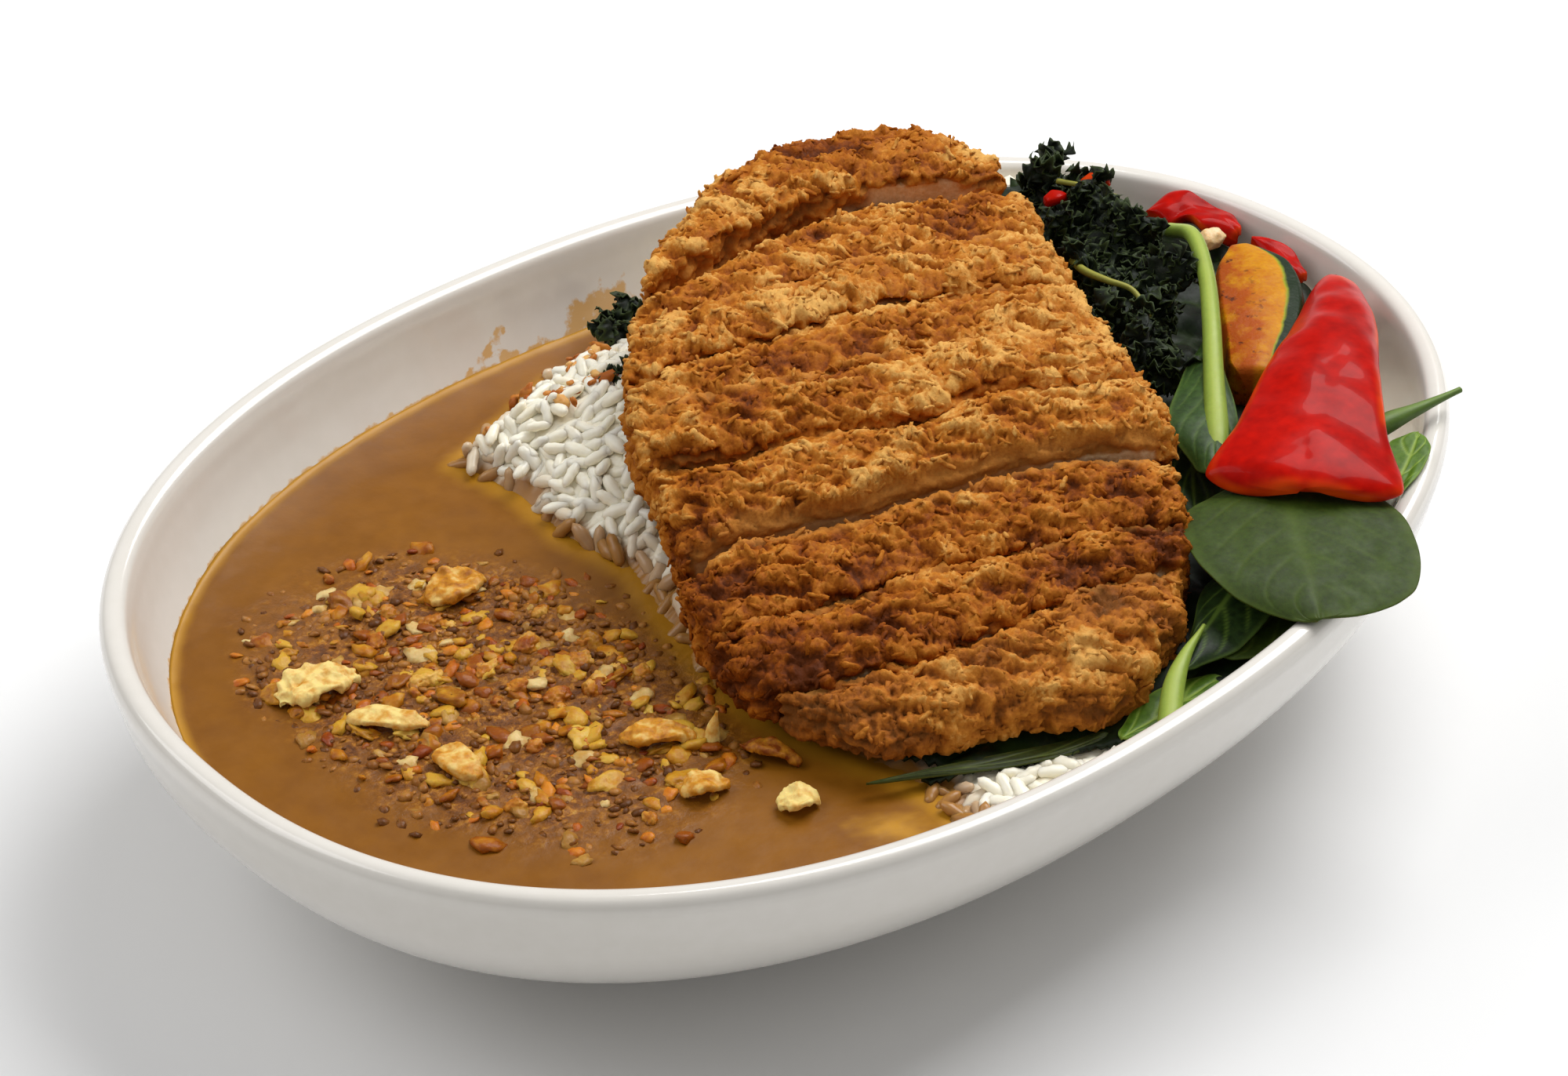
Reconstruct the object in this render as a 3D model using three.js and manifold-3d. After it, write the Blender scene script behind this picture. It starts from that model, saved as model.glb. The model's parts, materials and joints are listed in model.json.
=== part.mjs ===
// A white oval bowl of pork katsu curry: brown curry at one end, a sliced breaded
// cutlet over a mound of rice, and a heap of greens, red pepper and pumpkin at the other end.
// Lengths are millimetres and +Z is up. The origin is the middle of the bowl's flat base,
// and the bowl's long axis is X.

import * as THREE from 'three';
import Module from 'manifold-3d';
import { mergeVertices } from 'three/addons/utils/BufferGeometryUtils.js';
import { ImprovedNoise } from 'three/addons/math/ImprovedNoise.js';

const wasm = await Module();
wasm.setup();

// The bowl. Its outline is a slightly squared oval, a little wider at the curry end.
const BOWL_HALF_LENGTH = 135;
const BOWL_HALF_WIDTH = 98;
const BOWL_SQUARENESS = 2.18;
const BOWL_EGG_TAPER = -0.048;
const BOWL_SEGMENTS = 44;
const RIM_HEIGHT = 52;
// The wall's section as [inset from the outline, height], from under the base round to the floor.
const OUTER_WALL = [[50, 0], [46, 1], [37, 8], [25, 15], [14.5, 22.5], [7.5, 30], [2.6, 38], [0.5, 46]];
const LIP = [[0, 49.6], [0.9, 51.5], [2.6, RIM_HEIGHT], [4.4, 51.3], [5.4, 49.2]];
const INNER_WALL = [[6.5, 45.5], [8.4, 40.5], [11.4, 35], [16, 28], [28, 15.5], [56, 7]];
const PLAN_CORE_INSET = 56;
const LATHE_RADIUS = 100;

// The food fills the bowl, a small gap clear of its wall.
const WALL_GAP = 0.4;
const CURRY_LEVEL = 35;
const RICE_TOP_LIMIT = 64;
const CURRY_TO_RICE_GAP = 0.6;

// The food is laid out on axes of its own: across and along the cutlet.
const SERVING_TURN = THREE.MathUtils.degToRad(41.8);

// The edge of the rice, where it rises out of the curry, as [across, along].
const SHORELINE = [
  [-28, 92], [-35, 66], [-50, 57], [-67, 27], [-55, 17], [-45, 3], [-33, -7],
  [-26, -24], [-16, -44], [0, -58], [15, -68], [22, -75], [28, -90],
];
const RICE_FAR_CORNERS = [[140, -90], [140, 140], [-28, 140]];
const RICE_SHORE_RUN = 13;
const RICE_SUNK_SLOPE = 0.9;
const RICE_UNEVENNESS = 0.9;
const RICE_UNDER_CUTLET_GAP = 1.8;
// How high the rice stands under the greens, above the curry, along the heap.
const RICE_UNDER_GREENS = [[-60, 3], [-20, 6], [20, 9], [60, 9], [100, 7]];
const RICE_GRID_STEP = 11;
const RICE_BLOCK_REACH = { across: [-90, 126], along: [-112, 126] };
const GRAIN_LENGTH = 6.2;
const GRAIN_WIDTH = 2.3;
const GRAIN_SPACING = 6.2;
const GRAIN_JITTER = 3;
const GRAIN_SINK = 0.35;
// Where no grains are laid: under the greens, and under the small kale piece.
const GREENS_ZONE = [
  [6, -80], [12, -66], [40, -58], [30, 0], [36, 94], [48, 122],
  [140, 122], [140, -50], [74, -62], [58, -64], [40, -74],
];
const LEFT_KALE_ZONE = [[-48, 52], [-48, 80], [-24, 80], [-24, 52]];

// The cutlet: heights and edges are read off smooth curves along its length.
const CUTLET_UNDERSIDE = [
  [-72, 39.3], [-50, 39.3], [-33, 41.5], [-15, 46], [2, 51], [20, 53], [40, 54], [60, 53.5], [102, 53],
];
const CUTLET_THICKNESS = [
  [-72, 7], [-62, 9.5], [-50, 12.5], [-35, 13.8], [0, 14.6], [40, 15], [80, 15], [102, 13],
];
const CUTLET_LEFT_EDGE = [
  [-68.5, 11.5], [-65, 1], [-60, -5], [-51, -13.5], [-34, -20.7], [-17, -25], [-2, -30.5],
  [10, -32.4], [24, -32], [47, -29], [58, -26], [74, -19], [86, -11], [95, 4], [100, 18],
];
const CUTLET_RIGHT_EDGE = [
  [-68.5, 15], [-66, 23], [-62, 40], [-57, 54], [-47, 61], [-39, 65], [-13, 66.5],
  [5, 64], [18, 59.5], [30, 54.5], [47, 50], [65, 45.5], [77, 40], [88, 33.5], [96, 26], [100, 22],
];
const CUTLET_EDGE_ROUND = 7;
const CUTLET_EDGE_SHARE = 0.42;
const CUTLET_BELLY_SHARE = 0.42;
const CRUST_RELIEF = 1.3;
const CRUST_GRAIN = 8;
const CUTLET_ROWS = 25;
const CUTLET_COLUMNS = 11;
// Each cut crosses the cutlet, from the far end to the near one: its line, and how far it gapes.
const CUTS = [
  { line: [[-60, 22], [-36, 34], [-19, 50], [-2, 66], [12, 74], [40, 79], [80, 82]], gape: 1.8 },
  { line: [[-60, 14], [-36, 24.5], [-1, 41], [22, 55], [52, 61], [80, 64]], gape: 0.9 },
  { line: [[-60, -2], [-38, 8], [-16, 20], [8, 31.5], [21, 38], [56, 44], [80, 47]], gape: 0.9 },
  { line: [[-60, -7], [-38, -1], [-12, 8.3], [10, 16.5], [31, 22], [60, 27.5], [80, 31]], gape: 0.9 },
  { line: [[-60, -15], [-34, -9.5], [-6, -4.6], [22, 3.5], [33, 7.7], [66, 15.5], [80, 18]], gape: 0.9 },
  { line: [[-60, -44], [-28, -34], [-12, -26], [22, -15], [39, -10], [70, -4], [80, -2]], gape: 2.6 },
  { line: [[-60, -54], [-22, -46.5], [-3, -41.5], [18, -33], [38, -26], [70, -20], [80, -18]], gape: 0.9 },
  { line: [[-60, -66], [-20, -63], [1, -59], [20, -51], [41, -40.5], [70, -29], [80, -25]], gape: 0.9 },
];
const SLICE_LIFT = [3.2, 0, 0.5, -0.3, 0.2, 0.6, -0.9, -0.4, -0.6];

// Greens and vegetables.
const LEAF_THICKNESS = 0.8;
const STEM_SIDES = 8;
const RIM_CLEARANCE = 0.8;
const RIM_DROOP_SLOPE = 0.75;
const LIP_REACH = 9;
const KALE_CLEARANCE = 1.6;
const TALL_BLOCK = 90;

// The crumb topping is scattered over a slanting oval patch of the curry.
const CRUMB_PATCH = { across: -56, along: -42, halfLength: 50, halfWidth: 33, turn: -0.72 };
const CRUMB_COUNT = 38;
const CRUMB_SIZES = [1.5, 3.1];

const noise = new ImprovedNoise();

// A repeatable stream of numbers from 0 to 1.
function seededRandom(seed) {
  let state = seed;
  return () => {
    state = (state * 1664525 + 1013904223) % 4294967296;
    return state / 4294967296;
  };
}

// A smooth curve through [position, value] pairs, held level past both ends.
function valueAlong(pairs, position) {
  const last = pairs.length - 1;
  if (position <= pairs[0][0]) return pairs[0][1];
  if (position >= pairs[last][0]) return pairs[last][1];
  const right = pairs.findIndex(([place]) => place > position);
  const [start, from] = pairs[right - 1];
  const [end, to] = pairs[right];
  const span = end - start;
  const slopeAt = (index) => {
    if (index === 0 || index === last) return 0;
    const before = pairs[index - 1];
    const after = pairs[index + 1];
    return (after[1] - before[1]) / (after[0] - before[0]);
  };
  const share = (position - start) / span;
  const startSlope = slopeAt(right - 1) * span;
  const endSlope = slopeAt(right) * span;
  const square = share * share;
  const cube = square * share;
  return (2 * cube - 3 * square + 1) * from + (cube - 2 * square + share) * startSlope
    + (3 * square - 2 * cube) * to + (cube - square) * endSlope;
}

// A point of the food's own layout, in the bowl's frame.
function serve(across, along, height = 0) {
  const cosine = Math.cos(SERVING_TURN);
  const sine = Math.sin(SERVING_TURN);
  return new THREE.Vector3(cosine * across + sine * along, cosine * along - sine * across, height);
}

// The bowl's outline at an angle, moved inwards by an inset.
function planPoint(angle, inset) {
  const outline = (turn) => {
    const cosine = Math.cos(turn);
    const sine = Math.sin(turn);
    const spread = Math.abs(cosine) ** BOWL_SQUARENESS + Math.abs(sine) ** BOWL_SQUARENESS;
    const reach = spread ** (-1 / BOWL_SQUARENESS);
    const x = BOWL_HALF_LENGTH * reach * cosine;
    const y = BOWL_HALF_WIDTH * reach * sine * (1 + BOWL_EGG_TAPER * reach * cosine);
    return new THREE.Vector2(x, y);
  };
  const step = 0.002;
  const tangent = outline(angle + step).sub(outline(angle - step)).normalize();
  const inward = new THREE.Vector2(-tangent.y, tangent.x);
  return outline(angle).addScaledVector(inward, inset);
}

const RIM_STEPS = 240;
const RIM_POINTS = Array.from({ length: RIM_STEPS }, (_, index) => (
  planPoint((index / RIM_STEPS) * Math.PI * 2, 0).toArray()
));

// How far a point lies inside the bowl's outline, negative outside it.
function insetAt(point) {
  let nearest = Infinity;
  for (const [x, y] of RIM_POINTS) {
    nearest = Math.min(nearest, Math.hypot(x - point.x, y - point.y));
  }
  return isInside([point.x, point.y], RIM_POINTS) ? nearest : -nearest;
}

// Whether a point lies inside a closed outline.
function isInside([x, y], outline) {
  let inside = false;
  outline.forEach(([x1, y1], index) => {
    const [x2, y2] = outline[(index + 1) % outline.length];
    const crosses = (y1 > y) !== (y2 > y);
    if (crosses && x < ((x2 - x1) * (y - y1)) / (y2 - y1) + x1) inside = !inside;
  });
  return inside;
}

// The distance from a point to an open line of points.
function distanceToLine([x, y], line) {
  let nearest = Infinity;
  for (let index = 1; index < line.length; index += 1) {
    const [x1, y1] = line[index - 1];
    const [x2, y2] = line[index];
    const [runX, runY] = [x2 - x1, y2 - y1];
    const alongRun = ((x - x1) * runX + (y - y1) * runY) / (runX ** 2 + runY ** 2);
    const share = THREE.MathUtils.clamp(alongRun, 0, 1);
    nearest = Math.min(nearest, Math.hypot(x - x1 - share * runX, y - y1 - share * runY));
  }
  return nearest;
}

// Shared vertices only, with every face pointing out of the closed surface.
function tidySurface(geometry) {
  const bare = geometry.clone();
  bare.deleteAttribute('normal');
  bare.deleteAttribute('uv');
  const merged = mergeVertices(bare, 1e-4);
  const positions = merged.getAttribute('position');
  const faces = merged.getIndex().array;
  const kept = [];
  let volume = 0;
  for (let face = 0; face < faces.length; face += 3) {
    const corners = [faces[face], faces[face + 1], faces[face + 2]];
    if (new Set(corners).size < 3) continue;
    const [a, b, c] = corners.map((corner) => new THREE.Vector3().fromBufferAttribute(positions, corner));
    volume += a.dot(b.cross(c));
    kept.push(corners);
  }
  const outward = volume < 0 ? kept.map(([a, b, c]) => [a, c, b]) : kept;
  merged.setIndex(outward.flat());
  return merged;
}

function solidOf(geometry) {
  const tidy = tidySurface(geometry);
  const vertProperties = new Float32Array(tidy.getAttribute('position').array);
  const triVerts = new Uint32Array(tidy.getIndex().array);
  return new wasm.Manifold(new wasm.Mesh({ numProp: 3, vertProperties, triVerts }));
}

// The largest body of a solid as a geometry: loose scraps of a cut are dropped.
function geometryOf(solid) {
  const bodies = solid.decompose();
  const largest = bodies.reduce((best, body) => (body.volume() > best.volume() ? body : best));
  const mesh = largest.getMesh();
  const geometry = new THREE.BufferGeometry();
  geometry.setAttribute('position', new THREE.BufferAttribute(new Float32Array(mesh.vertProperties), 3));
  geometry.setIndex(new THREE.BufferAttribute(new Uint32Array(mesh.triVerts), 1));
  return geometry;
}

function fuse(geometries) {
  return geometries.map(solidOf).reduce((sum, solid) => sum.add(solid));
}

// A closed solid between two grids of points, both split into triangles alike.
function gridSolid(rows, columns, topPoint, bottomPoint) {
  const positions = [];
  const indices = [];
  const width = columns + 1;
  const layer = width * (rows + 1);
  for (const pointOf of [topPoint, bottomPoint]) {
    for (let row = 0; row <= rows; row += 1) {
      for (let column = 0; column <= columns; column += 1) {
        positions.push(...pointOf(row / rows, column / columns).toArray());
      }
    }
  }
  const at = (row, column) => row * width + column;
  for (let row = 0; row < rows; row += 1) {
    for (let column = 0; column < columns; column += 1) {
      const [a, b] = [at(row, column), at(row, column + 1)];
      const [c, d] = [at(row + 1, column + 1), at(row + 1, column)];
      indices.push(a, b, c, a, c, d);
      indices.push(a + layer, c + layer, b + layer, a + layer, d + layer, c + layer);
    }
  }
  const border = [];
  for (let column = 0; column < columns; column += 1) border.push(at(0, column));
  for (let row = 0; row < rows; row += 1) border.push(at(row, columns));
  for (let column = columns; column > 0; column -= 1) border.push(at(rows, column));
  for (let row = rows; row > 0; row -= 1) border.push(at(row, 0));
  border.forEach((corner, index) => {
    const next = border[(index + 1) % border.length];
    indices.push(corner, corner + layer, next + layer, corner, next + layer, next);
  });
  const geometry = new THREE.BufferGeometry();
  geometry.setAttribute('position', new THREE.Float32BufferAttribute(positions, 3));
  geometry.setIndex(indices);
  return tidySurface(geometry);
}

// A turned section bent to the bowl's oval plan: [inset, height] pairs that start and end on the axis.
function ovalSolid(section) {
  const profile = section.map(([inset, height]) => new THREE.Vector2(LATHE_RADIUS - inset, height));
  const lathe = new THREE.LatheGeometry(profile, BOWL_SEGMENTS);
  lathe.rotateX(Math.PI / 2);
  const positions = lathe.getAttribute('position');
  const coreRadius = LATHE_RADIUS - PLAN_CORE_INSET;
  for (let index = 0; index < positions.count; index += 1) {
    const radius = Math.hypot(positions.getX(index), positions.getY(index));
    const turns = Math.atan2(positions.getY(index), positions.getX(index)) / (2 * Math.PI);
    const segment = (Math.round(turns * BOWL_SEGMENTS) + BOWL_SEGMENTS) % BOWL_SEGMENTS;
    const angle = (segment / BOWL_SEGMENTS) * Math.PI * 2;
    const inset = LATHE_RADIUS - Math.max(radius, coreRadius);
    const spot = planPoint(angle, inset).multiplyScalar(Math.min(radius / coreRadius, 1));
    positions.setXY(index, spot.x, spot.y);
  }
  return tidySurface(lathe);
}

function makeBowl() {
  const floor = INNER_WALL[INNER_WALL.length - 1][1];
  return ovalSolid([[LATHE_RADIUS, 0], ...OUTER_WALL, ...LIP, ...INNER_WALL, [LATHE_RADIUS, floor]]);
}

// The bowl's hollow up to a level, a gap clear of the wall.
function makeFilling(level) {
  const wall = [...INNER_WALL].reverse().filter(([, height]) => height + WALL_GAP < level);
  const clear = wall.map(([inset, height]) => [inset + WALL_GAP, height + WALL_GAP]);
  const floor = clear[0][1];
  const edgeInset = level <= CURRY_LEVEL ? INNER_WALL[2][0] + WALL_GAP : LIP[4][0] + 2 * WALL_GAP;
  return ovalSolid([[LATHE_RADIUS, floor], ...clear, [edgeInset, level], [LATHE_RADIUS, level]]);
}

// How far the rice has risen from its edge at a spot: negative where it lies under the curry.
function shoreDistance(across, along) {
  const distance = distanceToLine([across, along], SHORELINE);
  const inside = isInside([across, along], [...SHORELINE, ...RICE_FAR_CORNERS]);
  return inside ? distance : -distance;
}

// The rice mound's own height, without its grains.
function riceHeight(across, along) {
  const shore = shoreDistance(across, along);
  if (shore < 0) return CURRY_LEVEL + shore * RICE_SUNK_SLOPE;
  const underCutlet = valueAlong(CUTLET_UNDERSIDE, along) - CURRY_LEVEL - RICE_UNDER_CUTLET_GAP;
  const underGreens = THREE.MathUtils.smoothstep(across, 48, 72);
  const rise = THREE.MathUtils.lerp(underCutlet, valueAlong(RICE_UNDER_GREENS, along), underGreens);
  const swell = 1 - Math.exp(-shore / RICE_SHORE_RUN);
  const unevenness = noise.noise(across / 7, along / 7, 3.1) * RICE_UNEVENNESS * swell;
  return CURRY_LEVEL + rise * swell + unevenness;
}

// The block under the rice's surface, raised by a gap where it cuts the curry.
function makeRiceBlock(raised) {
  const [fromAcross, toAcross] = RICE_BLOCK_REACH.across;
  const [fromAlong, toAlong] = RICE_BLOCK_REACH.along;
  const rows = Math.round((toAlong - fromAlong) / RICE_GRID_STEP);
  const columns = Math.round((toAcross - fromAcross) / RICE_GRID_STEP);
  const spot = (row, column) => [
    THREE.MathUtils.lerp(fromAcross, toAcross, column),
    THREE.MathUtils.lerp(fromAlong, toAlong, row),
  ];
  const surface = (row, column) => {
    const [across, along] = spot(row, column);
    return serve(across, along, riceHeight(across, along) + raised);
  };
  const base = (row, column) => {
    const [across, along] = spot(row, column);
    return serve(across, along, Math.min(riceHeight(across, along) + raised, 0) - 10);
  };
  return gridSolid(rows, columns, surface, base);
}

// The cutlet's outline, grown by a margin.
function cutletOutline(margin) {
  const leftSide = CUTLET_LEFT_EDGE.map(([along, edge]) => [edge - margin, along]);
  const rightSide = CUTLET_RIGHT_EDGE.map(([along, edge]) => [edge + margin, along]);
  return [...leftSide, ...rightSide.reverse()];
}

// Whether rice shows at a spot: not under the cutlet, and not under the greens.
function riceShows(spot) {
  const covers = [cutletOutline(GRAIN_WIDTH), GREENS_ZONE, LEFT_KALE_ZONE];
  return !covers.some((outline) => isInside(spot, outline));
}

// Grains of rice lying on the mound, where it shows.
function makeGrains() {
  const random = seededRandom(41);
  const grains = [];
  const [, toAlong] = RICE_BLOCK_REACH.along;
  for (let along = -84; along < toAlong; along += GRAIN_SPACING) {
    for (let across = -66; across < 70; across += GRAIN_SPACING) {
      const spot = [across + random() * GRAIN_JITTER, along + random() * GRAIN_JITTER];
      const turn = random() * Math.PI;
      const pitch = (random() - 0.5) * 0.5;
      const standsClear = riceHeight(...spot) > CURRY_LEVEL + 1.9;
      if (standsClear && insetAt(serve(...spot)) > 9 && riceShows(spot)) {
        const grain = makeGrain(spot, turn, pitch);
        grain.computeBoundingBox();
        if (grain.boundingBox.min.z > CURRY_LEVEL + WALL_GAP) grains.push(grain);
      }
    }
  }
  return grains;
}

// One grain, half sunk in the mound and lying along its slope.
function makeGrain([across, along], turn, pitch) {
  const step = 1.5;
  const height = riceHeight(across, along);
  const [stepAcross, stepAlong] = [Math.cos(turn) * step, Math.sin(turn) * step];
  const slope = (riceHeight(across + stepAcross, along + stepAlong) - height) / step;
  const direction = serve(Math.cos(turn), Math.sin(turn), slope + pitch).normalize();
  const grain = new THREE.IcosahedronGeometry(1, 0);
  grain.scale(GRAIN_WIDTH / 2, GRAIN_LENGTH / 2, GRAIN_WIDTH / 2);
  grain.applyQuaternion(new THREE.Quaternion().setFromUnitVectors(new THREE.Vector3(0, 1, 0), direction));
  grain.translate(...serve(across, along, height + GRAIN_SINK).toArray());
  return grain;
}

function makeRice() {
  const mound = solidOf(makeRiceBlock(0)).add(fuse(makeGrains()));
  return mound.intersect(solidOf(makeFilling(RICE_TOP_LIMIT)));
}

// The cutlet before it is cut: a slab that follows the mound, with a rounded, craggy crust.
function makeCutlet() {
  const outline = cutletOutline(0);
  outline.push(outline[0]);
  const near = CUTLET_LEFT_EDGE[0][0];
  const far = CUTLET_LEFT_EDGE[CUTLET_LEFT_EDGE.length - 1][0];
  const spot = (row, column) => {
    const along = THREE.MathUtils.lerp(near, far, row - Math.sin(row * Math.PI * 2) * 0.04);
    const share = column - Math.sin(column * Math.PI * 2) * 0.05;
    const left = valueAlong(CUTLET_LEFT_EDGE, along) + noise.noise(along / 5, 1.7, 0) * 1.6;
    const right = valueAlong(CUTLET_RIGHT_EDGE, along) + noise.noise(along / 5, 8.3, 0) * 1.6;
    return [THREE.MathUtils.lerp(left, right, share), along];
  };
  // The heights of the underside and the top at a spot, where they round off towards the edge.
  const levels = (across, along) => {
    const edge = Math.min(distanceToLine([across, along], outline) / CUTLET_EDGE_ROUND, 1);
    const full = CUTLET_EDGE_SHARE + (1 - CUTLET_EDGE_SHARE) * Math.sqrt(1 - (1 - edge) ** 2);
    const thickness = valueAlong(CUTLET_THICKNESS, along);
    const belly = thickness * CUTLET_BELLY_SHARE;
    const middle = valueAlong(CUTLET_UNDERSIDE, along) + belly;
    return [middle - belly * full, middle + (thickness - belly) * full];
  };
  const top = (row, column) => {
    const [across, along] = spot(row, column);
    const crag = noise.noise(across / CRUST_GRAIN, along / CRUST_GRAIN, 5.5) * CRUST_RELIEF;
    return serve(across, along, levels(across, along)[1] + crag);
  };
  const bottom = (row, column) => {
    const [across, along] = spot(row, column);
    return serve(across, along, levels(across, along)[0]);
  };
  return solidOf(gridSolid(CUTLET_ROWS, CUTLET_COLUMNS, top, bottom));
}

// An upright block over an outline of [across, along] corners.
function makeUprightBlock(corners) {
  const outline = new THREE.Shape(corners.map(([across, along]) => {
    const corner = serve(across, along);
    return new THREE.Vector2(corner.x, corner.y);
  }));
  return new THREE.ExtrudeGeometry(outline, { depth: TALL_BLOCK, bevelEnabled: false });
}

// The block between two cuts, which takes one slice out of the cutlet.
function makeSliceBlock(far, near) {
  const shifted = (line, shift) => line.map(([across, along]) => {
    const wobble = noise.noise(across / 11, along / 11, 9.2) * 1.2;
    return [across, along + wobble + shift];
  });
  const farSide = shifted(far.line, -far.gape / 2);
  const nearSide = shifted(near.line, near.gape / 2);
  return makeUprightBlock([...nearSide, ...farSide.reverse()]);
}

function makeSlices() {
  const cutlet = makeCutlet();
  const beyondFar = { line: [[-60, 125], [80, 125]], gape: 0 };
  const beyondNear = { line: [[-60, -95], [80, -95]], gape: 0 };
  const edges = [beyondFar, ...CUTS, beyondNear];
  return SLICE_LIFT.map((lift, index) => {
    const block = solidOf(makeSliceBlock(edges[index], edges[index + 1]));
    return { solid: cutlet.intersect(block), lift };
  });
}

// The lowest a leaf may lie at a spot so that it passes over the bowl's lip and droops outside it.
function lipHeight(point) {
  const inset = insetAt(point);
  if (inset > LIP_REACH) return 0;
  return RIM_HEIGHT + RIM_CLEARANCE + Math.min(inset, 0) * RIM_DROOP_SLOPE;
}

// A leaf or a strip: a thin wavy solid along a spine, with a width to each side of it.
// Widths are [place from 0 to 1, width] pairs; cup lifts the sides, ripple waves them.
function makeBlade({
  spine, left, right = left, cup = 0, ripple = 0, thickness = LEAF_THICKNESS, edgeShare = 1,
  rows = 8, columns = 4, overLip = false, phase = 0,
}) {
  const curve = new THREE.CatmullRomCurve3(spine.map((point) => serve(...point)));
  const up = new THREE.Vector3(0, 0, 1);
  const middle = (row, column) => {
    const side = column * 2 - 1;
    const width = valueAlong(side < 0 ? left : right, row);
    const forward = curve.getTangent(row);
    const sideways = new THREE.Vector3().crossVectors(forward, up).normalize();
    const wave = Math.sin(row * 9 + side * 2.2 + phase) * ripple * (0.35 + Math.abs(side));
    const point = curve.getPoint(row).addScaledVector(sideways, side * width);
    point.z += cup * side * side + wave;
    if (overLip) point.z = Math.max(point.z, lipHeight(point));
    return point;
  };
  const faceOn = (share) => (row, column) => {
    const side = Math.abs(column * 2 - 1);
    const end = Math.abs(row * 2 - 1);
    const thin = THREE.MathUtils.lerp(1, edgeShare, Math.max(side ** 4, end ** 6));
    const point = middle(row, column);
    point.z += thickness * share * thin;
    return point;
  };
  return gridSolid(rows, columns, faceOn(0.5), faceOn(-0.5));
}

// A round stem along a curve.
function makeStem(points, radius, steps) {
  const section = new THREE.Shape(Array.from({ length: STEM_SIDES }, (_, side) => {
    const angle = (side / STEM_SIDES) * Math.PI * 2;
    return new THREE.Vector2(Math.cos(angle) * radius, Math.sin(angle) * radius);
  }));
  const extrudePath = new THREE.CatmullRomCurve3(points.map((point) => serve(...point)));
  return new THREE.ExtrudeGeometry(section, { steps, extrudePath });
}

// A curly mass: a low ridge with frilled leaflets standing out of it all round.
function makeCurlyHeap({ ridge, halfWidths, depth, leaflets, size, seed }) {
  const random = seededRandom(seed);
  const spine = ridge.map(([across, along, height]) => [across, along, height - depth / 2]);
  const rows = 2 * ridge.length - 2;
  const low = { spine, left: halfWidths, thickness: depth, edgeShare: 0.3, ripple: 0.8, rows, columns: 3 };
  const curve = new THREE.CatmullRomCurve3(ridge.map((point) => serve(...point)));
  const pieces = [makeBlade(low)];
  for (let index = 0; index < leaflets; index += 1) {
    const share = (index + 0.5) / leaflets;
    const lean = (random() * 2 - 1) * 0.75;
    const forward = curve.getTangent(share);
    const sideways = new THREE.Vector3(forward.y, -forward.x, 0).normalize();
    const root = curve.getPoint(share).addScaledVector(sideways, lean * valueAlong(halfWidths, share));
    root.z -= 2.5 + Math.abs(lean) * 2.5;
    const reach = size * (0.75 + random() * 0.5);
    pieces.push(makeLeaflet(root, sideways, lean, reach, random));
  }
  return fuse(pieces);
}

// One frilled leaflet that fans out from its root and leans outwards.
function makeLeaflet(root, sideways, lean, reach, random) {
  const turn = random() * Math.PI * 2;
  const tilt = 0.45;
  const outward = new THREE.Vector3(Math.cos(turn) * tilt, Math.sin(turn) * tilt, 0);
  outward.addScaledVector(sideways, lean * 0.8);
  outward.z = 1.1 - Math.abs(lean) * 0.55;
  outward.normalize();
  const spread = new THREE.Vector3(-Math.sin(turn), Math.cos(turn), 0.2).cross(outward).normalize();
  const face = new THREE.Vector3().crossVectors(outward, spread).normalize();
  const phase = random() * 6;
  const thickness = 1.1;
  const frillOn = (share) => (row, column) => {
    const side = column * 2 - 1;
    const point = root.clone().addScaledVector(outward, row * reach * (1 - 0.25 * side * side));
    point.addScaledVector(spread, side * reach * (0.18 + 0.42 * row));
    point.addScaledVector(face, Math.sin(column * 9 + phase) * row * reach * 0.16 + share * thickness);
    return point;
  };
  return gridSolid(1, 4, frillOn(0.5), frillOn(-0.5));
}

// A small uneven lump, such as a fried crumb.
function makeLump(point, radii, turn, random) {
  const lump = new THREE.IcosahedronGeometry(1, 0);
  lump.deleteAttribute('normal');
  lump.deleteAttribute('uv');
  const shape = mergeVertices(lump, 1e-4);
  const positions = shape.getAttribute('position');
  const corner = new THREE.Vector3();
  for (let index = 0; index < positions.count; index += 1) {
    corner.fromBufferAttribute(positions, index).multiplyScalar(0.75 + random() * 0.5);
    positions.setXYZ(index, ...corner.toArray());
  }
  shape.scale(...radii);
  shape.rotateZ(turn);
  shape.translate(point.x, point.y, point.z);
  return shape;
}

// The chips on the curry, each resting just clear of it:
// [name, across, along, half length, half width, rise, turn].
const CHIPS = [
  ['garlic_chip_pale', -86.5, -44, 7.5, 4.6, 2.2, 0.5],
  ['garlic_chip_yellow', -73, -54, 7.2, 2.6, 1.6, -0.15],
  ['onion_chip_orange', -64, -14.5, 6, 4.2, 1.8, 0.7],
  ['onion_chip_gold', -26, -58, 6.4, 3, 1.7, 0.1],
  ['garlic_chip_flat', -60, -65.5, 5.4, 3.2, 1.4, -0.8],
  ['onion_chip_small', -17.5, -72, 4.2, 2.6, 1.6, 0.3],
  ['onion_chip_brown', -6.5, -62.5, 5.6, 1.7, 1.6, -0.4],
  ['garlic_chip_lump', -1.5, -76, 3.6, 3, 1.8, 0.2],
];
const CHIP_THICKNESS = 1.1;
const CHIP_GAP = 0.35;
const CHIP_RIPPLE = 0.25;

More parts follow.
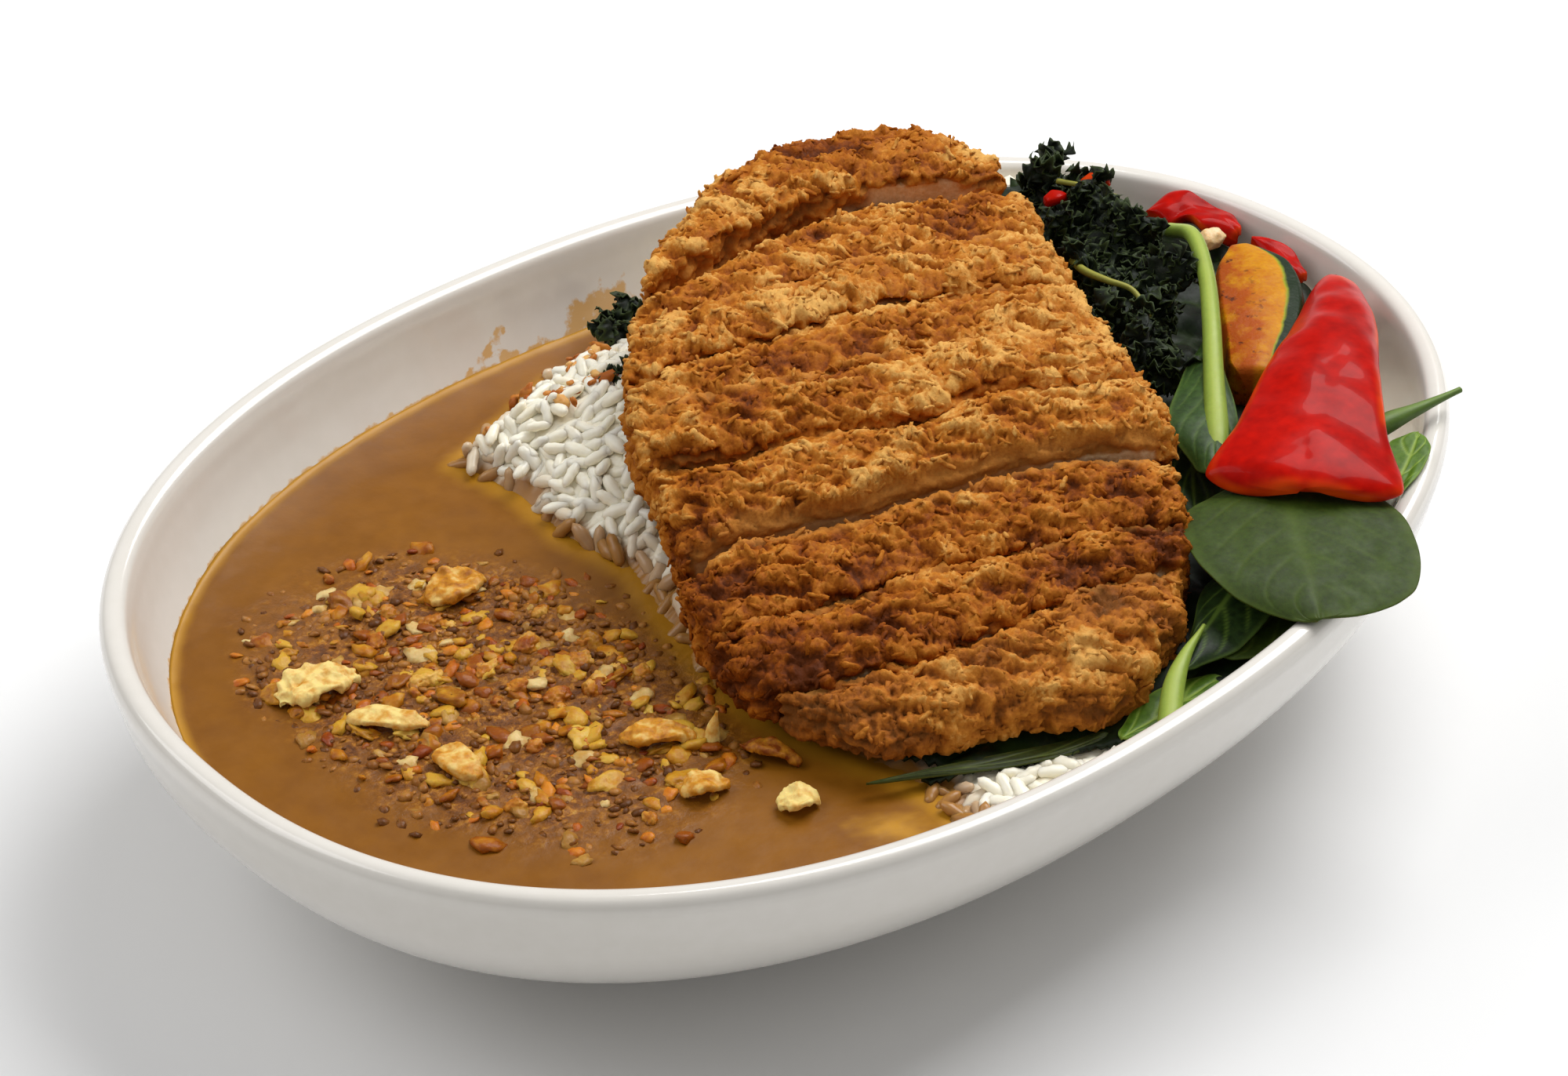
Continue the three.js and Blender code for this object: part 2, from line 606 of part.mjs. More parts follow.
function makeChip([, across, along, halfLength, halfWidth, rise, turn]) {
  const direction = [Math.cos(turn), Math.sin(turn)];
  const base = CURRY_LEVEL + CHIP_GAP + CHIP_THICKNESS / 2 + CHIP_RIPPLE;
  const spine = [-1, -0.4, 0.4, 1].map((share) => [
    across + direction[0] * halfLength * share,
    along + direction[1] * halfLength * share,
    base + rise * (1 - share * share),
  ]);
  const outline = [[0, 0.3], [0.3, 1], [0.7, 0.85], [1, 0.25]];
  const left = outline.map(([share, width]) => [share, width * halfWidth]);
  const shape = { spine, left, ripple: CHIP_RIPPLE, thickness: CHIP_THICKNESS, phase: across };
  return makeBlade({ ...shape, rows: 4, columns: 2 });
}

// Crumbs stand half out of the curry inside the patch, clear of the chips, the rice and the wall.
function makeCrumbs() {
  const random = seededRandom(7);
  const crumbs = [];
  const { across, along, halfLength, halfWidth, turn } = CRUMB_PATCH;
  while (crumbs.length < CRUMB_COUNT) {
    const reach = random() ** 0.6;
    const angle = random() * Math.PI * 2;
    const onLong = Math.cos(angle) * reach * halfLength;
    const onShort = Math.sin(angle) * reach * halfWidth;
    const size = THREE.MathUtils.lerp(...CRUMB_SIZES, random() ** 2);
    const spot = [
      across + Math.cos(turn) * onLong - Math.sin(turn) * onShort,
      along + Math.sin(turn) * onLong + Math.cos(turn) * onShort,
    ];
    const radii = [size, size * (0.5 + random() * 0.4), size * 0.55];
    const spin = random() * Math.PI;
    const clearOfChips = CHIPS.every(([, chipAcross, chipAlong, halfChip]) => (
      Math.hypot(spot[0] - chipAcross, spot[1] - chipAlong) > halfChip + size + 0.8
    ));
    const point = serve(...spot, CURRY_LEVEL + size * 0.12);
    if (clearOfChips && shoreDistance(...spot) < -5 && insetAt(point) > 12 + size) {
      crumbs.push(makeLump(point, radii, spin, random));
    }
  }
  return crumbs;
}

function makeCurry() {
  const pool = solidOf(makeFilling(CURRY_LEVEL)).subtract(solidOf(makeRiceBlock(CURRY_TO_RICE_GAP)));
  return pool.add(fuse(makeCrumbs()));
}

// The spinach, from the top of the pile to the bottom: [name, blade, stem or none].
const SPINACH = [
  {
    name: 'spinach_big',
    blade: {
      spine: [[85, -3, 53.4], [86, -14, 54.6], [87, -26, 54.8], [87.5, -37, 53.6], [87.5, -43.5, 51.6]],
      left: [[0, 8], [0.25, 18.5], [0.55, 20.5], [0.8, 16.5], [1, 6]],
      right: [[0, 8], [0.25, 17.5], [0.55, 19], [0.8, 15], [1, 6]],
      cup: -2, ripple: 0.35, rows: 10, columns: 6, overLip: true,
    },
  },
  {
    name: 'spinach_tall',
    blade: {
      spine: [[76.2, 34, 57.6], [75.8, 24, 57.2], [75.2, 14, 56.6], [74.6, 5, 55.8], [74, -2, 54.6]],
      left: [[0, 1], [0.3, 4], [0.6, 5], [1, 2]],
      right: [[0, 1], [0.3, 6], [0.6, 8.5], [1, 3]],
      cup: -1.2, ripple: 0.3, rows: 6, columns: 3,
    },
    stem: {
      points: [
        [71.5, 78.5, 56.8], [75.2, 71, 60.2], [76.8, 56, 60.6],
        [76.6, 40, 60], [76, 26, 58.2], [75.6, 14, 56.8],
      ],
      radius: 1.8,
      steps: 10,
    },
  },
  {
    name: 'spinach_dark',
    blade: {
      spine: [[75, 30.5, 49.6], [72.5, 19, 49.2], [71, 5, 48.2], [70.5, -10, 46.6]],
      left: [[0, 2], [0.4, 6.5], [0.75, 5.5], [1, 2]],
      right: [[0, 2], [0.4, 4.5], [0.75, 4], [1, 2]],
      ripple: 0.4, rows: 6, columns: 3,
    },
  },
  {
    name: 'spinach_under',
    blade: {
      spine: [[84, -20, 48.6], [76, -30, 48], [70, -40, 46.6], [65, -50, 44.8]],
      left: [[0, 3], [0.35, 8.5], [0.7, 7], [1, 1.5]],
      right: [[0, 3], [0.35, 5.5], [0.7, 2.2], [1, 1]],
      cup: -0.8, ripple: 0.4, rows: 6, columns: 4,
    },
    stem: {
      points: [[70, -40, 47.2], [65, -48.5, 46.2], [62.4, -56.5, 45], [62, -64.5, 44.2]],
      radius: 1.7,
      steps: 5,
    },
  },
  {
    name: 'spinach_wall',
    blade: {
      spine: [[90, -24, 45.2], [84, -32, 44.8], [77.5, -40, 44.2], [72.5, -45, 43.7]],
      left: [[0, 2], [0.4, 5], [0.7, 5], [1, 2]],
      right: [[0, 2], [0.4, 6.5], [0.7, 6], [1, 2]],
      ripple: 0.3, rows: 6, columns: 3,
    },
  },
  {
    name: 'spinach_near',
    blade: {
      spine: [[54, -63, 39.8], [60, -58.3, 40.2], [66.5, -52.8, 40.8], [72.5, -47.5, 41.2]],
      left: [[0, 2], [0.35, 5], [0.7, 5], [1, 2]],
      right: [[0, 1], [0.35, 3.2], [0.7, 3.2], [1, 1]],
      ripple: 0.2, rows: 6, columns: 3,
    },
  },
  {
    name: 'spinach_long',
    blade: {
      spine: [[10, -73, 37.9], [22, -70.4, 38.2], [34, -68, 38.3], [45, -64.5, 38.4], [52, -60, 38.4]],
      left: [[0, 0.7], [0.3, 2], [0.7, 3.8], [1, 1.5]],
      ripple: 0.15, rows: 8, columns: 2,
    },
  },
  {
    name: 'spinach_right',
    blade: {
      spine: [[106, -6.5, 51.6], [108.5, -1, 52.2], [111, 5, 53], [113, 11, 53.6]],
      left: [[0, 2], [0.4, 5.5], [0.8, 4.5], [1, 1.5]],
      right: [[0, 2], [0.4, 3], [0.8, 3], [1, 1.5]],
      ripple: 0.2, rows: 6, columns: 4, overLip: true,
    },
  },
];

const LOOSE_STEM = { points: [[106.5, 12, 54.4], [114, 17, 55], [122, 22.5, 55.6]], radius: 1.2, steps: 6 };
const ONION = { spot: [80.5, 81.5, 53], radii: [3.4, 2.8, 2], turn: 0.4 };

// Red pepper and pumpkin: thicker strips with thinned edges.
const VEGETABLES = [
  {
    name: 'pepper_front',
    colour: 0xb5160c,
    blade: {
      spine: [
        [103.5, 65.5, 54.6], [100.5, 45, 59.2], [95, 24, 61.2],
        [91, 4, 61], [89.5, -8, 60], [88.5, -15, 58.4],
      ],
      left: [[0, 3], [0.3, 7], [0.6, 12.5], [0.85, 16.5], [1, 11.5]],
      right: [[0, 3], [0.3, 7], [0.6, 12.5], [0.85, 17.5], [1, 11]],
      cup: -2.4, ripple: 0.5, thickness: 3.6, edgeShare: 0.5, rows: 9, columns: 5,
    },
  },
  {
    name: 'pepper_back_1',
    colour: 0xa81410,
    blade: {
      spine: [[68.5, 97.5, 49], [75, 97, 50.6], [81, 93.5, 50.6], [86.5, 88, 49.4]],
      left: [[0, 2], [0.25, 5.2], [0.5, 3.4], [0.75, 5], [1, 2]],
      ripple: 0.8, thickness: 3, edgeShare: 0.6, rows: 6, columns: 3,
    },
  },
  {
    name: 'pepper_back_2',
    colour: 0xa81410,
    blade: {
      spine: [[89.5, 86.5, 49.6], [94.5, 80, 49.2], [98, 73, 48.4]],
      left: [[0, 1.6], [0.5, 2.8], [1, 1.6]],
      ripple: 0.4, thickness: 3, edgeShare: 0.6, rows: 4, columns: 3,
    },
  },
  {
    name: 'pepper_back_3',
    colour: 0x9a1410,
    blade: {
      spine: [[98, 66, 47.4], [102.5, 65, 48.4], [106.5, 59, 48]],
      left: [[0, 2], [0.5, 4.4], [1, 2]],
      ripple: 0.6, thickness: 3, edgeShare: 0.6, rows: 5, columns: 3,
    },
  },
  {
    name: 'pumpkin_wedge',
    colour: 0xd98a1e,
    blade: {
      spine: [[86.5, 76.5, 50.4], [87, 66, 50.8], [86.5, 50, 50.8], [84, 30, 50]],
      left: [[0, 3.5], [0.25, 8.5], [0.6, 9.5], [1, 5]],
      right: [[0, 3.5], [0.25, 6.8], [0.6, 7.6], [1, 5]],
      ripple: 0.15, thickness: 10.5, edgeShare: 0.75, rows: 7, columns: 4,
    },
  },
];

const KALE = [
  {
    name: 'kale_heap',
    ridge: [[45, 104, 55], [51, 93, 56.5], [58, 78, 58], [61, 63, 58], [63, 47, 56.5], [66, 29, 54]],
    halfWidths: [[0, 3.5], [0.2, 7], [0.45, 10.5], [0.65, 10], [0.85, 6], [1, 2]],
    depth: 9, leaflets: 15, size: 10, seed: 12,
  },
  {
    name: 'kale_left',
    ridge: [[-36, 73, 42.5], [-38, 67, 42.5], [-39, 61, 41]],
    halfWidths: [[0, 2], [0.5, 3.5], [1, 2]],
    depth: 4, leaflets: 4, size: 6, seed: 5,
  },
];

// A curly heap, cut clear of the cutlet, the rice and the tall stem.
function makeKale(heap) {
  const { stem } = SPINACH.find(({ name }) => name === 'spinach_tall');
  const clearances = [
    makeUprightBlock(cutletOutline(KALE_CLEARANCE)),
    makeRiceBlock(CURRY_TO_RICE_GAP),
    makeStem(stem.points, stem.radius + CURRY_TO_RICE_GAP, stem.steps),
  ];
  return clearances.map(solidOf).reduce((rest, clearance) => rest.subtract(clearance), makeCurlyHeap(heap));
}

function makeSpinach({ blade, stem }) {
  const leaf = makeBlade(blade);
  if (!stem) return leaf;
  return geometryOf(fuse([leaf, makeStem(stem.points, stem.radius, stem.steps)]));
}

function makeMaterial(color, roughness) {
  return new THREE.MeshStandardMaterial({ color, roughness, metalness: 0 });
}

const MATERIALS = {
  glaze: makeMaterial(0xf1efec, 0.25),
  curry: makeMaterial(0x9a6a2a, 0.35),
  rice: makeMaterial(0xf0ede2, 0.5),
  crust: makeMaterial(0xb9762f, 0.75),
  kale: makeMaterial(0x16261a, 0.6),
  spinach: makeMaterial(0x3d5a2c, 0.45),
  garlic: makeMaterial(0xd9b36a, 0.55),
  onion: makeMaterial(0xe2c69a, 0.5),
};

const meal = new THREE.Group();

function addPiece(name, geometry, material, lift = 0) {
  const mesh = new THREE.Mesh(geometry, material);
  mesh.name = name;
  mesh.position.z = lift;
  meal.add(mesh);
}

addPiece('bowl', makeBowl(), MATERIALS.glaze);
addPiece('curry', geometryOf(makeCurry()), MATERIALS.curry);
addPiece('rice', geometryOf(makeRice()), MATERIALS.rice);
makeSlices().forEach(({ solid, lift }, index) => {
  addPiece(`katsu_slice_${index + 1}`, geometryOf(solid), MATERIALS.crust, lift);
});
for (const heap of KALE) {
  addPiece(heap.name, geometryOf(makeKale(heap)), MATERIALS.kale);
}
for (const piece of SPINACH) {
  addPiece(piece.name, makeSpinach(piece), MATERIALS.spinach);
}
const looseStem = makeStem(LOOSE_STEM.points, LOOSE_STEM.radius, LOOSE_STEM.steps);
addPiece('spinach_stem', tidySurface(looseStem), MATERIALS.spinach);
for (const { name, colour, blade } of VEGETABLES) {
  addPiece(name, makeBlade(blade), makeMaterial(colour, 0.3));
}
const onion = makeLump(serve(...ONION.spot), ONION.radii, ONION.turn, seededRandom(3));
addPiece('onion_piece', onion, MATERIALS.onion);
for (const chip of CHIPS) {
  addPiece(chip[0], makeChip(chip), MATERIALS.garlic);
}

export default meal;
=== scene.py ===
"""An oval bowl of pork katsu curry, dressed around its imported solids.

Lengths are millimetres in the classes' fields and metres in the finished meshes. The origin is the
middle of the bowl's base, +Z is up, and the bowl's long axis is X. The food is laid out on axes of
its own, across and along the cutlet, turned from the bowl's axes by SERVING_TURN.
"""
from __future__ import annotations

import json
import logging
import math
from dataclasses import dataclass, field
from enum import Enum

import bmesh
import bpy
import numpy as np
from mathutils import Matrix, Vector
from mathutils.kdtree import KDTree

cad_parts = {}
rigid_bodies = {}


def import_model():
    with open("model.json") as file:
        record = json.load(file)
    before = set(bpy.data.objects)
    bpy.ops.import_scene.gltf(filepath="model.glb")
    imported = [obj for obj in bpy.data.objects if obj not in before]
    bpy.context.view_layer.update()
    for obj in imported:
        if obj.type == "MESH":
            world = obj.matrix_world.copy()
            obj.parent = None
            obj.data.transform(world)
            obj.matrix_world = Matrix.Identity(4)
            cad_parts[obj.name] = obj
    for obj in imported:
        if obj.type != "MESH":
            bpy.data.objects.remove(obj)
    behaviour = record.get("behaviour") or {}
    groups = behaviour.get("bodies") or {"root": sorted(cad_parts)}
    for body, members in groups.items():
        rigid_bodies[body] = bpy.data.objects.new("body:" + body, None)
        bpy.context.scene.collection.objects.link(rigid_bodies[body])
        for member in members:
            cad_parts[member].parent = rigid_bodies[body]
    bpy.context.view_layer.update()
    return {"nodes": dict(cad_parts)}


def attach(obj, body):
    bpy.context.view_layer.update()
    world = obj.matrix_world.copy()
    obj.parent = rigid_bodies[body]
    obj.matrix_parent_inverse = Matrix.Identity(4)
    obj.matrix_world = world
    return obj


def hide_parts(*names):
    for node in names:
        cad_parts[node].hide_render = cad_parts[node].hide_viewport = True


LOG = logging.getLogger("katsu_curry")
MM = 0.001
SERVING_TURN = math.radians(41.8)
CURRY_LEVEL = 35.0
RIM_HEIGHT = 52.0

Colour = tuple[float, float, float, float]
Pairs = tuple[tuple[float, float], ...]
Triple = tuple[float, float, float]
Line = tuple[Triple, ...]
Spots = tuple[tuple[float, float, float, float], ...]
Array = np.ndarray
Piece = bpy.types.Object
Material = bpy.types.Material
Socket = bpy.types.NodeSocket


class Slot(Enum):
    """The record's material slots."""

    GLAZE = "glaze"
    CURRY = "curry"
    RICE = "rice"
    CRUST = "crust"
    KALE = "kale"
    SPINACH = "spinach"
    PEPPER = "pepper"
    PUMPKIN = "pumpkin"
    ONION = "onion"
    FRIED_CHIP = "fried_chip"


def srgb(red: float, green: float, blue: float) -> Colour:
    """Turns a screen colour into the renderer's linear one.

    Args:
        red: Red from 0 to 255.
        green: Green from 0 to 255.
        blue: Blue from 0 to 255.

    Returns:
        The linear colour with full alpha.
    """
    linear = []
    for value in (red, green, blue):
        share = value / 255.0
        linear.append(share / 12.92 if share <= 0.04045 else ((share + 0.055) / 1.055) ** 2.4)
    return (linear[0], linear[1], linear[2], 1.0)


def ease(values: Array, low: float, high: float) -> Array:
    """Eases values from 0 at low to 1 at high."""
    share = np.clip((values - low) / (high - low), 0.0, 1.0)
    return share * share * (3.0 - 2.0 * share)


@dataclass(frozen=True)
class Curve:
    """A smooth curve through (position, value) pairs, held level past both ends."""

    pairs: Pairs

    def at(self, positions: Array | float) -> Array:
        """Reads the curve.

        Args:
            positions: Where to read it.

        Returns:
            The values there.
        """
        places = np.array([pair[0] for pair in self.pairs])
        values = np.array([pair[1] for pair in self.pairs])
        slopes = np.zeros_like(values)
        slopes[1:-1] = (values[2:] - values[:-2]) / (places[2:] - places[:-2])
        wanted = np.clip(np.asarray(positions, float), places[0], places[-1])
        right = np.clip(np.searchsorted(places, wanted, side="right"), 1, len(places) - 1)
        left = right - 1
        span = places[right] - places[left]
        share = (wanted - places[left]) / span
        square = share * share
        cube = square * share
        return (
            (2 * cube - 3 * square + 1) * values[left]
            + (cube - 2 * square + share) * slopes[left] * span
            + (3 * square - 2 * cube) * values[right]
            + (cube - square) * slopes[right] * span
        )


class SmoothNoise:
    """Repeatable gradient noise, read for whole arrays of points at once."""

    def __init__(self, seed: int) -> None:
        """Shuffles the lattice.

        Args:
            seed: Fixes the pattern.
        """
        random = np.random.default_rng(seed)
        order = random.permutation(256)
        self.order = np.concatenate([order, order])
        slopes = random.normal(size=(256, 3))
        self.slopes = slopes / np.linalg.norm(slopes, axis=1)[:, None]

    def at(self, points: Array, size: float) -> Array:
        """Reads one layer of the noise.

        Args:
            points: An (n, 3) array of places.
            size: The size of one bump, in the points' units.

        Returns:
            Values from about -1 to 1.
        """
        grid = points / size
        cell = np.floor(grid).astype(int)
        part = grid - cell
        fade = part * part * part * (part * (part * 6.0 - 15.0) + 10.0)
        total = np.zeros(len(points))
        for step in np.ndindex(2, 2, 2):
            corner = (cell + step) & 255
            key = self.order[self.order[self.order[corner[:, 0]] + corner[:, 1]] + corner[:, 2]]
            reach = part - np.array(step, float)
            weight = np.prod(np.where(np.array(step) == 1, fade, 1.0 - fade), axis=1)
            total += weight * np.einsum("ij,ij->i", self.slopes[key], reach)
        return total * 1.7

    def layered(self, points: Array, size: float, layers: int = 3) -> Array:
        """Sums layers of noise, each half the size and half the strength of the last.

        Args:
            points: An (n, 3) array of places.
            size: The size of the largest bumps.
            layers: How many layers there are.

        Returns:
            Values from about -1 to 1.
        """
        total = np.zeros(len(points))
        strength = 1.0
        for layer in range(layers):
            total += strength * self.at(points + 31.7 * layer, size / 2**layer)
            strength *= 0.5
        return total / (2.0 - 2.0 ** (1 - layers))

    def bent(self, points: Array, size: float, reach: float) -> Array:
        """Moves points about by noise, so that what is read at them loses its even roundness."""
        moves = [self.at(points + 17.3 * (axis + 1), size) for axis in range(3)]
        return points + reach * np.stack(moves, axis=1)

    def billows(self, points: Array, size: float) -> Array:
        """Reads round swellings with sharp creases between them, from -1 to 1."""
        return 2.0 * np.clip(np.abs(self.at(points, size)) * 2.2, 0.0, 1.0) ** 0.7 - 1.0

    def ridged(self, points: Array, size: float) -> Array:
        """Reads sharp crests with round hollows between them, from -1 to 1."""
        return 1.0 - 2.0 * np.clip(np.abs(self.at(points, size)) * 1.6, 0.0, 1.0)


NOISE = SmoothNoise(11)


def serve(across: Array, along: Array, height: Array) -> Array:
    """Turns places on the food's own axes into the bowl's frame, as an (n, 3) array."""
    cosine, sine = math.cos(SERVING_TURN), math.sin(SERVING_TURN)
    return np.stack([cosine * across + sine * along, cosine * along - sine * across, height], axis=-1)


def unserve(points: Array) -> tuple[Array, Array]:
    """Turns places in the bowl's frame into across and along."""
    cosine, sine = math.cos(SERVING_TURN), math.sin(SERVING_TURN)
    x, y = points[..., 0], points[..., 1]
    return cosine * x - sine * y, sine * x + cosine * y


def line_distance(x: Array, y: Array, line: Pairs) -> Array:
    """Measures the distance from each place to an open line of points."""
    nearest = np.full(np.shape(x), np.inf)
    for (x1, y1), (x2, y2) in zip(line[:-1], line[1:]):
        run_x, run_y = x2 - x1, y2 - y1
        share = np.clip(((x - x1) * run_x + (y - y1) * run_y) / (run_x**2 + run_y**2), 0.0, 1.0)
        nearest = np.minimum(nearest, np.hypot(x - x1 - share * run_x, y - y1 - share * run_y))
    return nearest


def is_inside(x: Array, y: Array, outline: Pairs) -> Array:
    """Says which places lie inside a closed outline."""
    inside = np.zeros(np.shape(x), bool)
    for (x1, y1), (x2, y2) in zip(outline, outline[1:] + outline[:1]):
        crosses = (y1 > y) != (y2 > y)
        slope = (x2 - x1) / (y2 - y1) if y2 != y1 else 0.0
        inside ^= crosses & (x < slope * (y - y1) + x1)
    return inside


@dataclass(frozen=True)
class BowlPlan:
    """The bowl's outline: a slightly squared oval, a little wider at the curry end."""

    half_length: float = 135.0
    half_width: float = 98.0
    squareness: float = 2.18
    egg_taper: float = -0.048
    core_inset: float = 56.0
    core_radius: float = 44.0

    def outline(self, angles: Array) -> Array:
        """Gives the outline's points at some angles, as an (n, 2) array."""
        cosine, sine = np.cos(angles), np.sin(angles)
        power = self.squareness
        reach = (np.abs(cosine) ** power + np.abs(sine) ** power) ** (-1 / power)
        taper = 1 + self.egg_taper * reach * cosine
        return np.stack([self.half_length * reach * cosine, self.half_width * reach * sine * taper], axis=-1)

    def points(self, angles: Array, insets: Array) -> Array:
        """Gives points moved inwards from the outline; past the core inset they run to the centre.

        Args:
            angles: The angle of each point.
            insets: How far each point is moved in; core inset plus core radius is the centre.

        Returns:
            An (n, 2) array.
        """
        step = 0.002
        tangent = self.outline(angles + step) - self.outline(angles - step)
        tangent /= np.linalg.norm(tangent, axis=-1, keepdims=True)
        inward = np.stack([-tangent[..., 1], tangent[..., 0]], axis=-1)
        moved = self.outline(angles) + inward * np.minimum(insets, self.core_inset)[..., None]
        shrink = 1.0 - np.maximum(insets - self.core_inset, 0.0) / self.core_radius
        return moved * shrink[..., None]

    def inset_of(self, points: Array) -> Array:
        """Measures how far points lie inside the outline, negative outside it."""
        rim = self.outline(np.linspace(0, 2 * np.pi, 720, endpoint=False))
        flat = points.reshape(-1, points.shape[-1])
        nearest = np.empty(len(flat))
        chunk = 8000
        for start in range(0, len(flat), chunk):
            part = flat[start:start + chunk, None, :2] - rim[None]
            nearest[start:start + chunk] = np.sqrt((part**2).sum(-1).min(1))
        x, y = flat[:, 0] / self.half_length, flat[:, 1] / self.half_width
        spread = np.abs(x) ** self.squareness
        spread += np.abs(y / (1 + self.egg_taper * x)) ** self.squareness
        return np.where(spread < 1, nearest, -nearest).reshape(points.shape[:-1])


PLAN = BowlPlan()


@dataclass(frozen=True)
class RiceForm:
    """The rice mound's shape, without its grains."""

    shoreline: Pairs = (
        (-28, 92), (-35, 66), (-50, 57), (-67, 27), (-55, 17), (-45, 3), (-33, -7),
        (-26, -24), (-16, -44), (0, -58), (15, -68), (22, -75), (28, -90),
    )
    far_corners: Pairs = ((140, -90), (140, 140), (-28, 140))
    shore_run: float = 13.0
    sunk_slope: float = 0.9
    under_cutlet_gap: float = 1.8
    under_greens: Curve = Curve(((-60, 3), (-20, 6), (20, 9), (60, 9), (100, 7)))

    def shore(self, across: Array, along: Array) -> Array:
        """Measures the way in from the rice's edge, negative where it lies under the curry."""
        distance = line_distance(across, along, self.shoreline)
        return np.where(is_inside(across, along, self.shoreline + self.far_corners), distance, -distance)

    def height(self, across: Array, along: Array) -> Array:
        """Gives the mound's height."""
        shore = self.shore(across, along)
        under_cutlet = CUTLET.underside.at(along) - CURRY_LEVEL - self.under_cutlet_gap
        greens = ease(across, 48.0, 72.0)
        rise = under_cutlet + (self.under_greens.at(along) - under_cutlet) * greens
        swell = 1.0 - np.exp(-np.maximum(shore, 0.0) / self.shore_run)
        return np.where(shore < 0, CURRY_LEVEL + shore * self.sunk_slope, CURRY_LEVEL + rise * swell)


@dataclass(frozen=True)
class CutletForm:
    """The uncut cutlet: a slab that follows the mound, with a rounded edge."""

    underside: Curve = Curve((
        (-72, 39.3), (-50, 39.3), (-33, 41.5), (-15, 46), (2, 51), (20, 53), (40, 54), (60, 53.5), (102, 53),
    ))
    thickness: Curve = Curve((
        (-72, 7), (-62, 9.5), (-50, 12.5), (-35, 13.8), (0, 14.6), (40, 15), (80, 15), (102, 13),
    ))
    left_edge: Curve = Curve((
        (-68.5, 11.5), (-65, 1), (-60, -5), (-51, -13.5), (-34, -20.7), (-17, -25), (-2, -30.5),
        (10, -32.4), (24, -32), (47, -29), (58, -26), (74, -19), (86, -11), (95, 4), (100, 18),
    ))
    right_edge: Curve = Curve((
        (-68.5, 15), (-66, 23), (-62, 40), (-57, 54), (-47, 61), (-39, 65), (-13, 66.5),
        (5, 64), (18, 59.5), (30, 54.5), (47, 50), (65, 45.5), (77, 40), (88, 33.5), (96, 26), (100, 22),
    ))
    edge_round: float = 7.0
    edge_share: float = 0.42
    belly_share: float = 0.42

    def outline(self, margin: float = 0.0) -> Pairs:
        """Gives the outline's (across, along) points, grown by a margin."""
        left = tuple((edge - margin, along) for along, edge in self.left_edge.pairs)
        right = tuple((edge + margin, along) for along, edge in self.right_edge.pairs)
        return left + right[::-1]

    def depth_inside(self, across: Array, along: Array, height: Array) -> Array:
        """Measures how deep places lie under the uncut cutlet's surface, negative outside it."""
        outline = self.outline()
        edge = line_distance(across, along, outline + outline[:1])
        edge = np.where(is_inside(across, along, outline), edge, -edge)
        share = np.clip(edge / self.edge_round, 0.0, 1.0)
        full = self.edge_share + (1 - self.edge_share) * np.sqrt(1 - (1 - share) ** 2)
        thickness = self.thickness.at(along)
        belly = thickness * self.belly_share
        middle = self.underside.at(along) + belly
        above = middle + (thickness - belly) * full - height
        below = height - (middle - belly * full)
        return np.minimum(np.minimum(above, below), edge)


CUTLET = CutletForm()
RICE = RiceForm()


def put_in_scene(name: str, data: bpy.types.ID) -> Piece:
    """Makes a mesh, a light or a camera an object at the origin."""
    piece = bpy.data.objects.new(name, data)
    bpy.context.scene.collection.objects.link(piece)
    return piece


def point_outwards(mesh: bpy.types.Mesh) -> None:
    """Turns a closed mesh's faces outwards."""
    work = bmesh.new()
    work.from_mesh(mesh)
    bmesh.ops.recalc_face_normals(work, faces=work.faces)
    work.to_mesh(mesh)
    work.free()


def new_piece(name: str, points: Array, faces: Array | list, closed: bool = True) -> Piece:
    """Makes a smooth object from points in millimetres.

    Args:
        name: The object's name.
        points: An (n, 3) array.
        faces: Quads or triangles of point numbers.
        closed: Whether it is a solid, whose faces are turned outwards.

    Returns:
        The object, linked to the scene, at the origin.
    """
    mesh = bpy.data.meshes.new(name)
    mesh.from_pydata((points * MM).tolist(), [], list(map(list, faces)))
    mesh.polygons.foreach_set("use_smooth", np.full(len(mesh.polygons), True))
    mesh.update()
    if closed:
        point_outwards(mesh)
    return put_in_scene(name, mesh)


def read_triples(items: bpy.types.bpy_prop_collection, label: str) -> Array:
    """Reads three numbers of each item, as an (n, 3) array."""
    flat = np.empty(len(items) * 3, np.float32)
    items.foreach_get(label, flat)
    return flat.reshape(-1, 3).astype(float)


def mesh_points(mesh: bpy.types.Mesh) -> Array:
    """Reads a mesh's points, in millimetres."""
    return read_triples(mesh.vertices, "co") / MM


def mesh_normals(mesh: bpy.types.Mesh) -> Array:
    """Reads a mesh's point normals."""
    return read_triples(mesh.vertex_normals, "vector")


def set_points(mesh: bpy.types.Mesh, points: Array) -> None:
    """Writes a mesh's points, given in millimetres."""
    mesh.vertices.foreach_set("co", (points * MM).astype(np.float32).ravel())
    mesh.update()


def store(piece: Piece, name: str, values: Array) -> None:
    """Stores one number for each point, under a name that the materials read."""
    mesh = piece.data
    layer = mesh.attributes.get(name) or mesh.attributes.new(name, "FLOAT", "POINT")
    layer.data.foreach_set("value", np.asarray(values, np.float32).ravel())


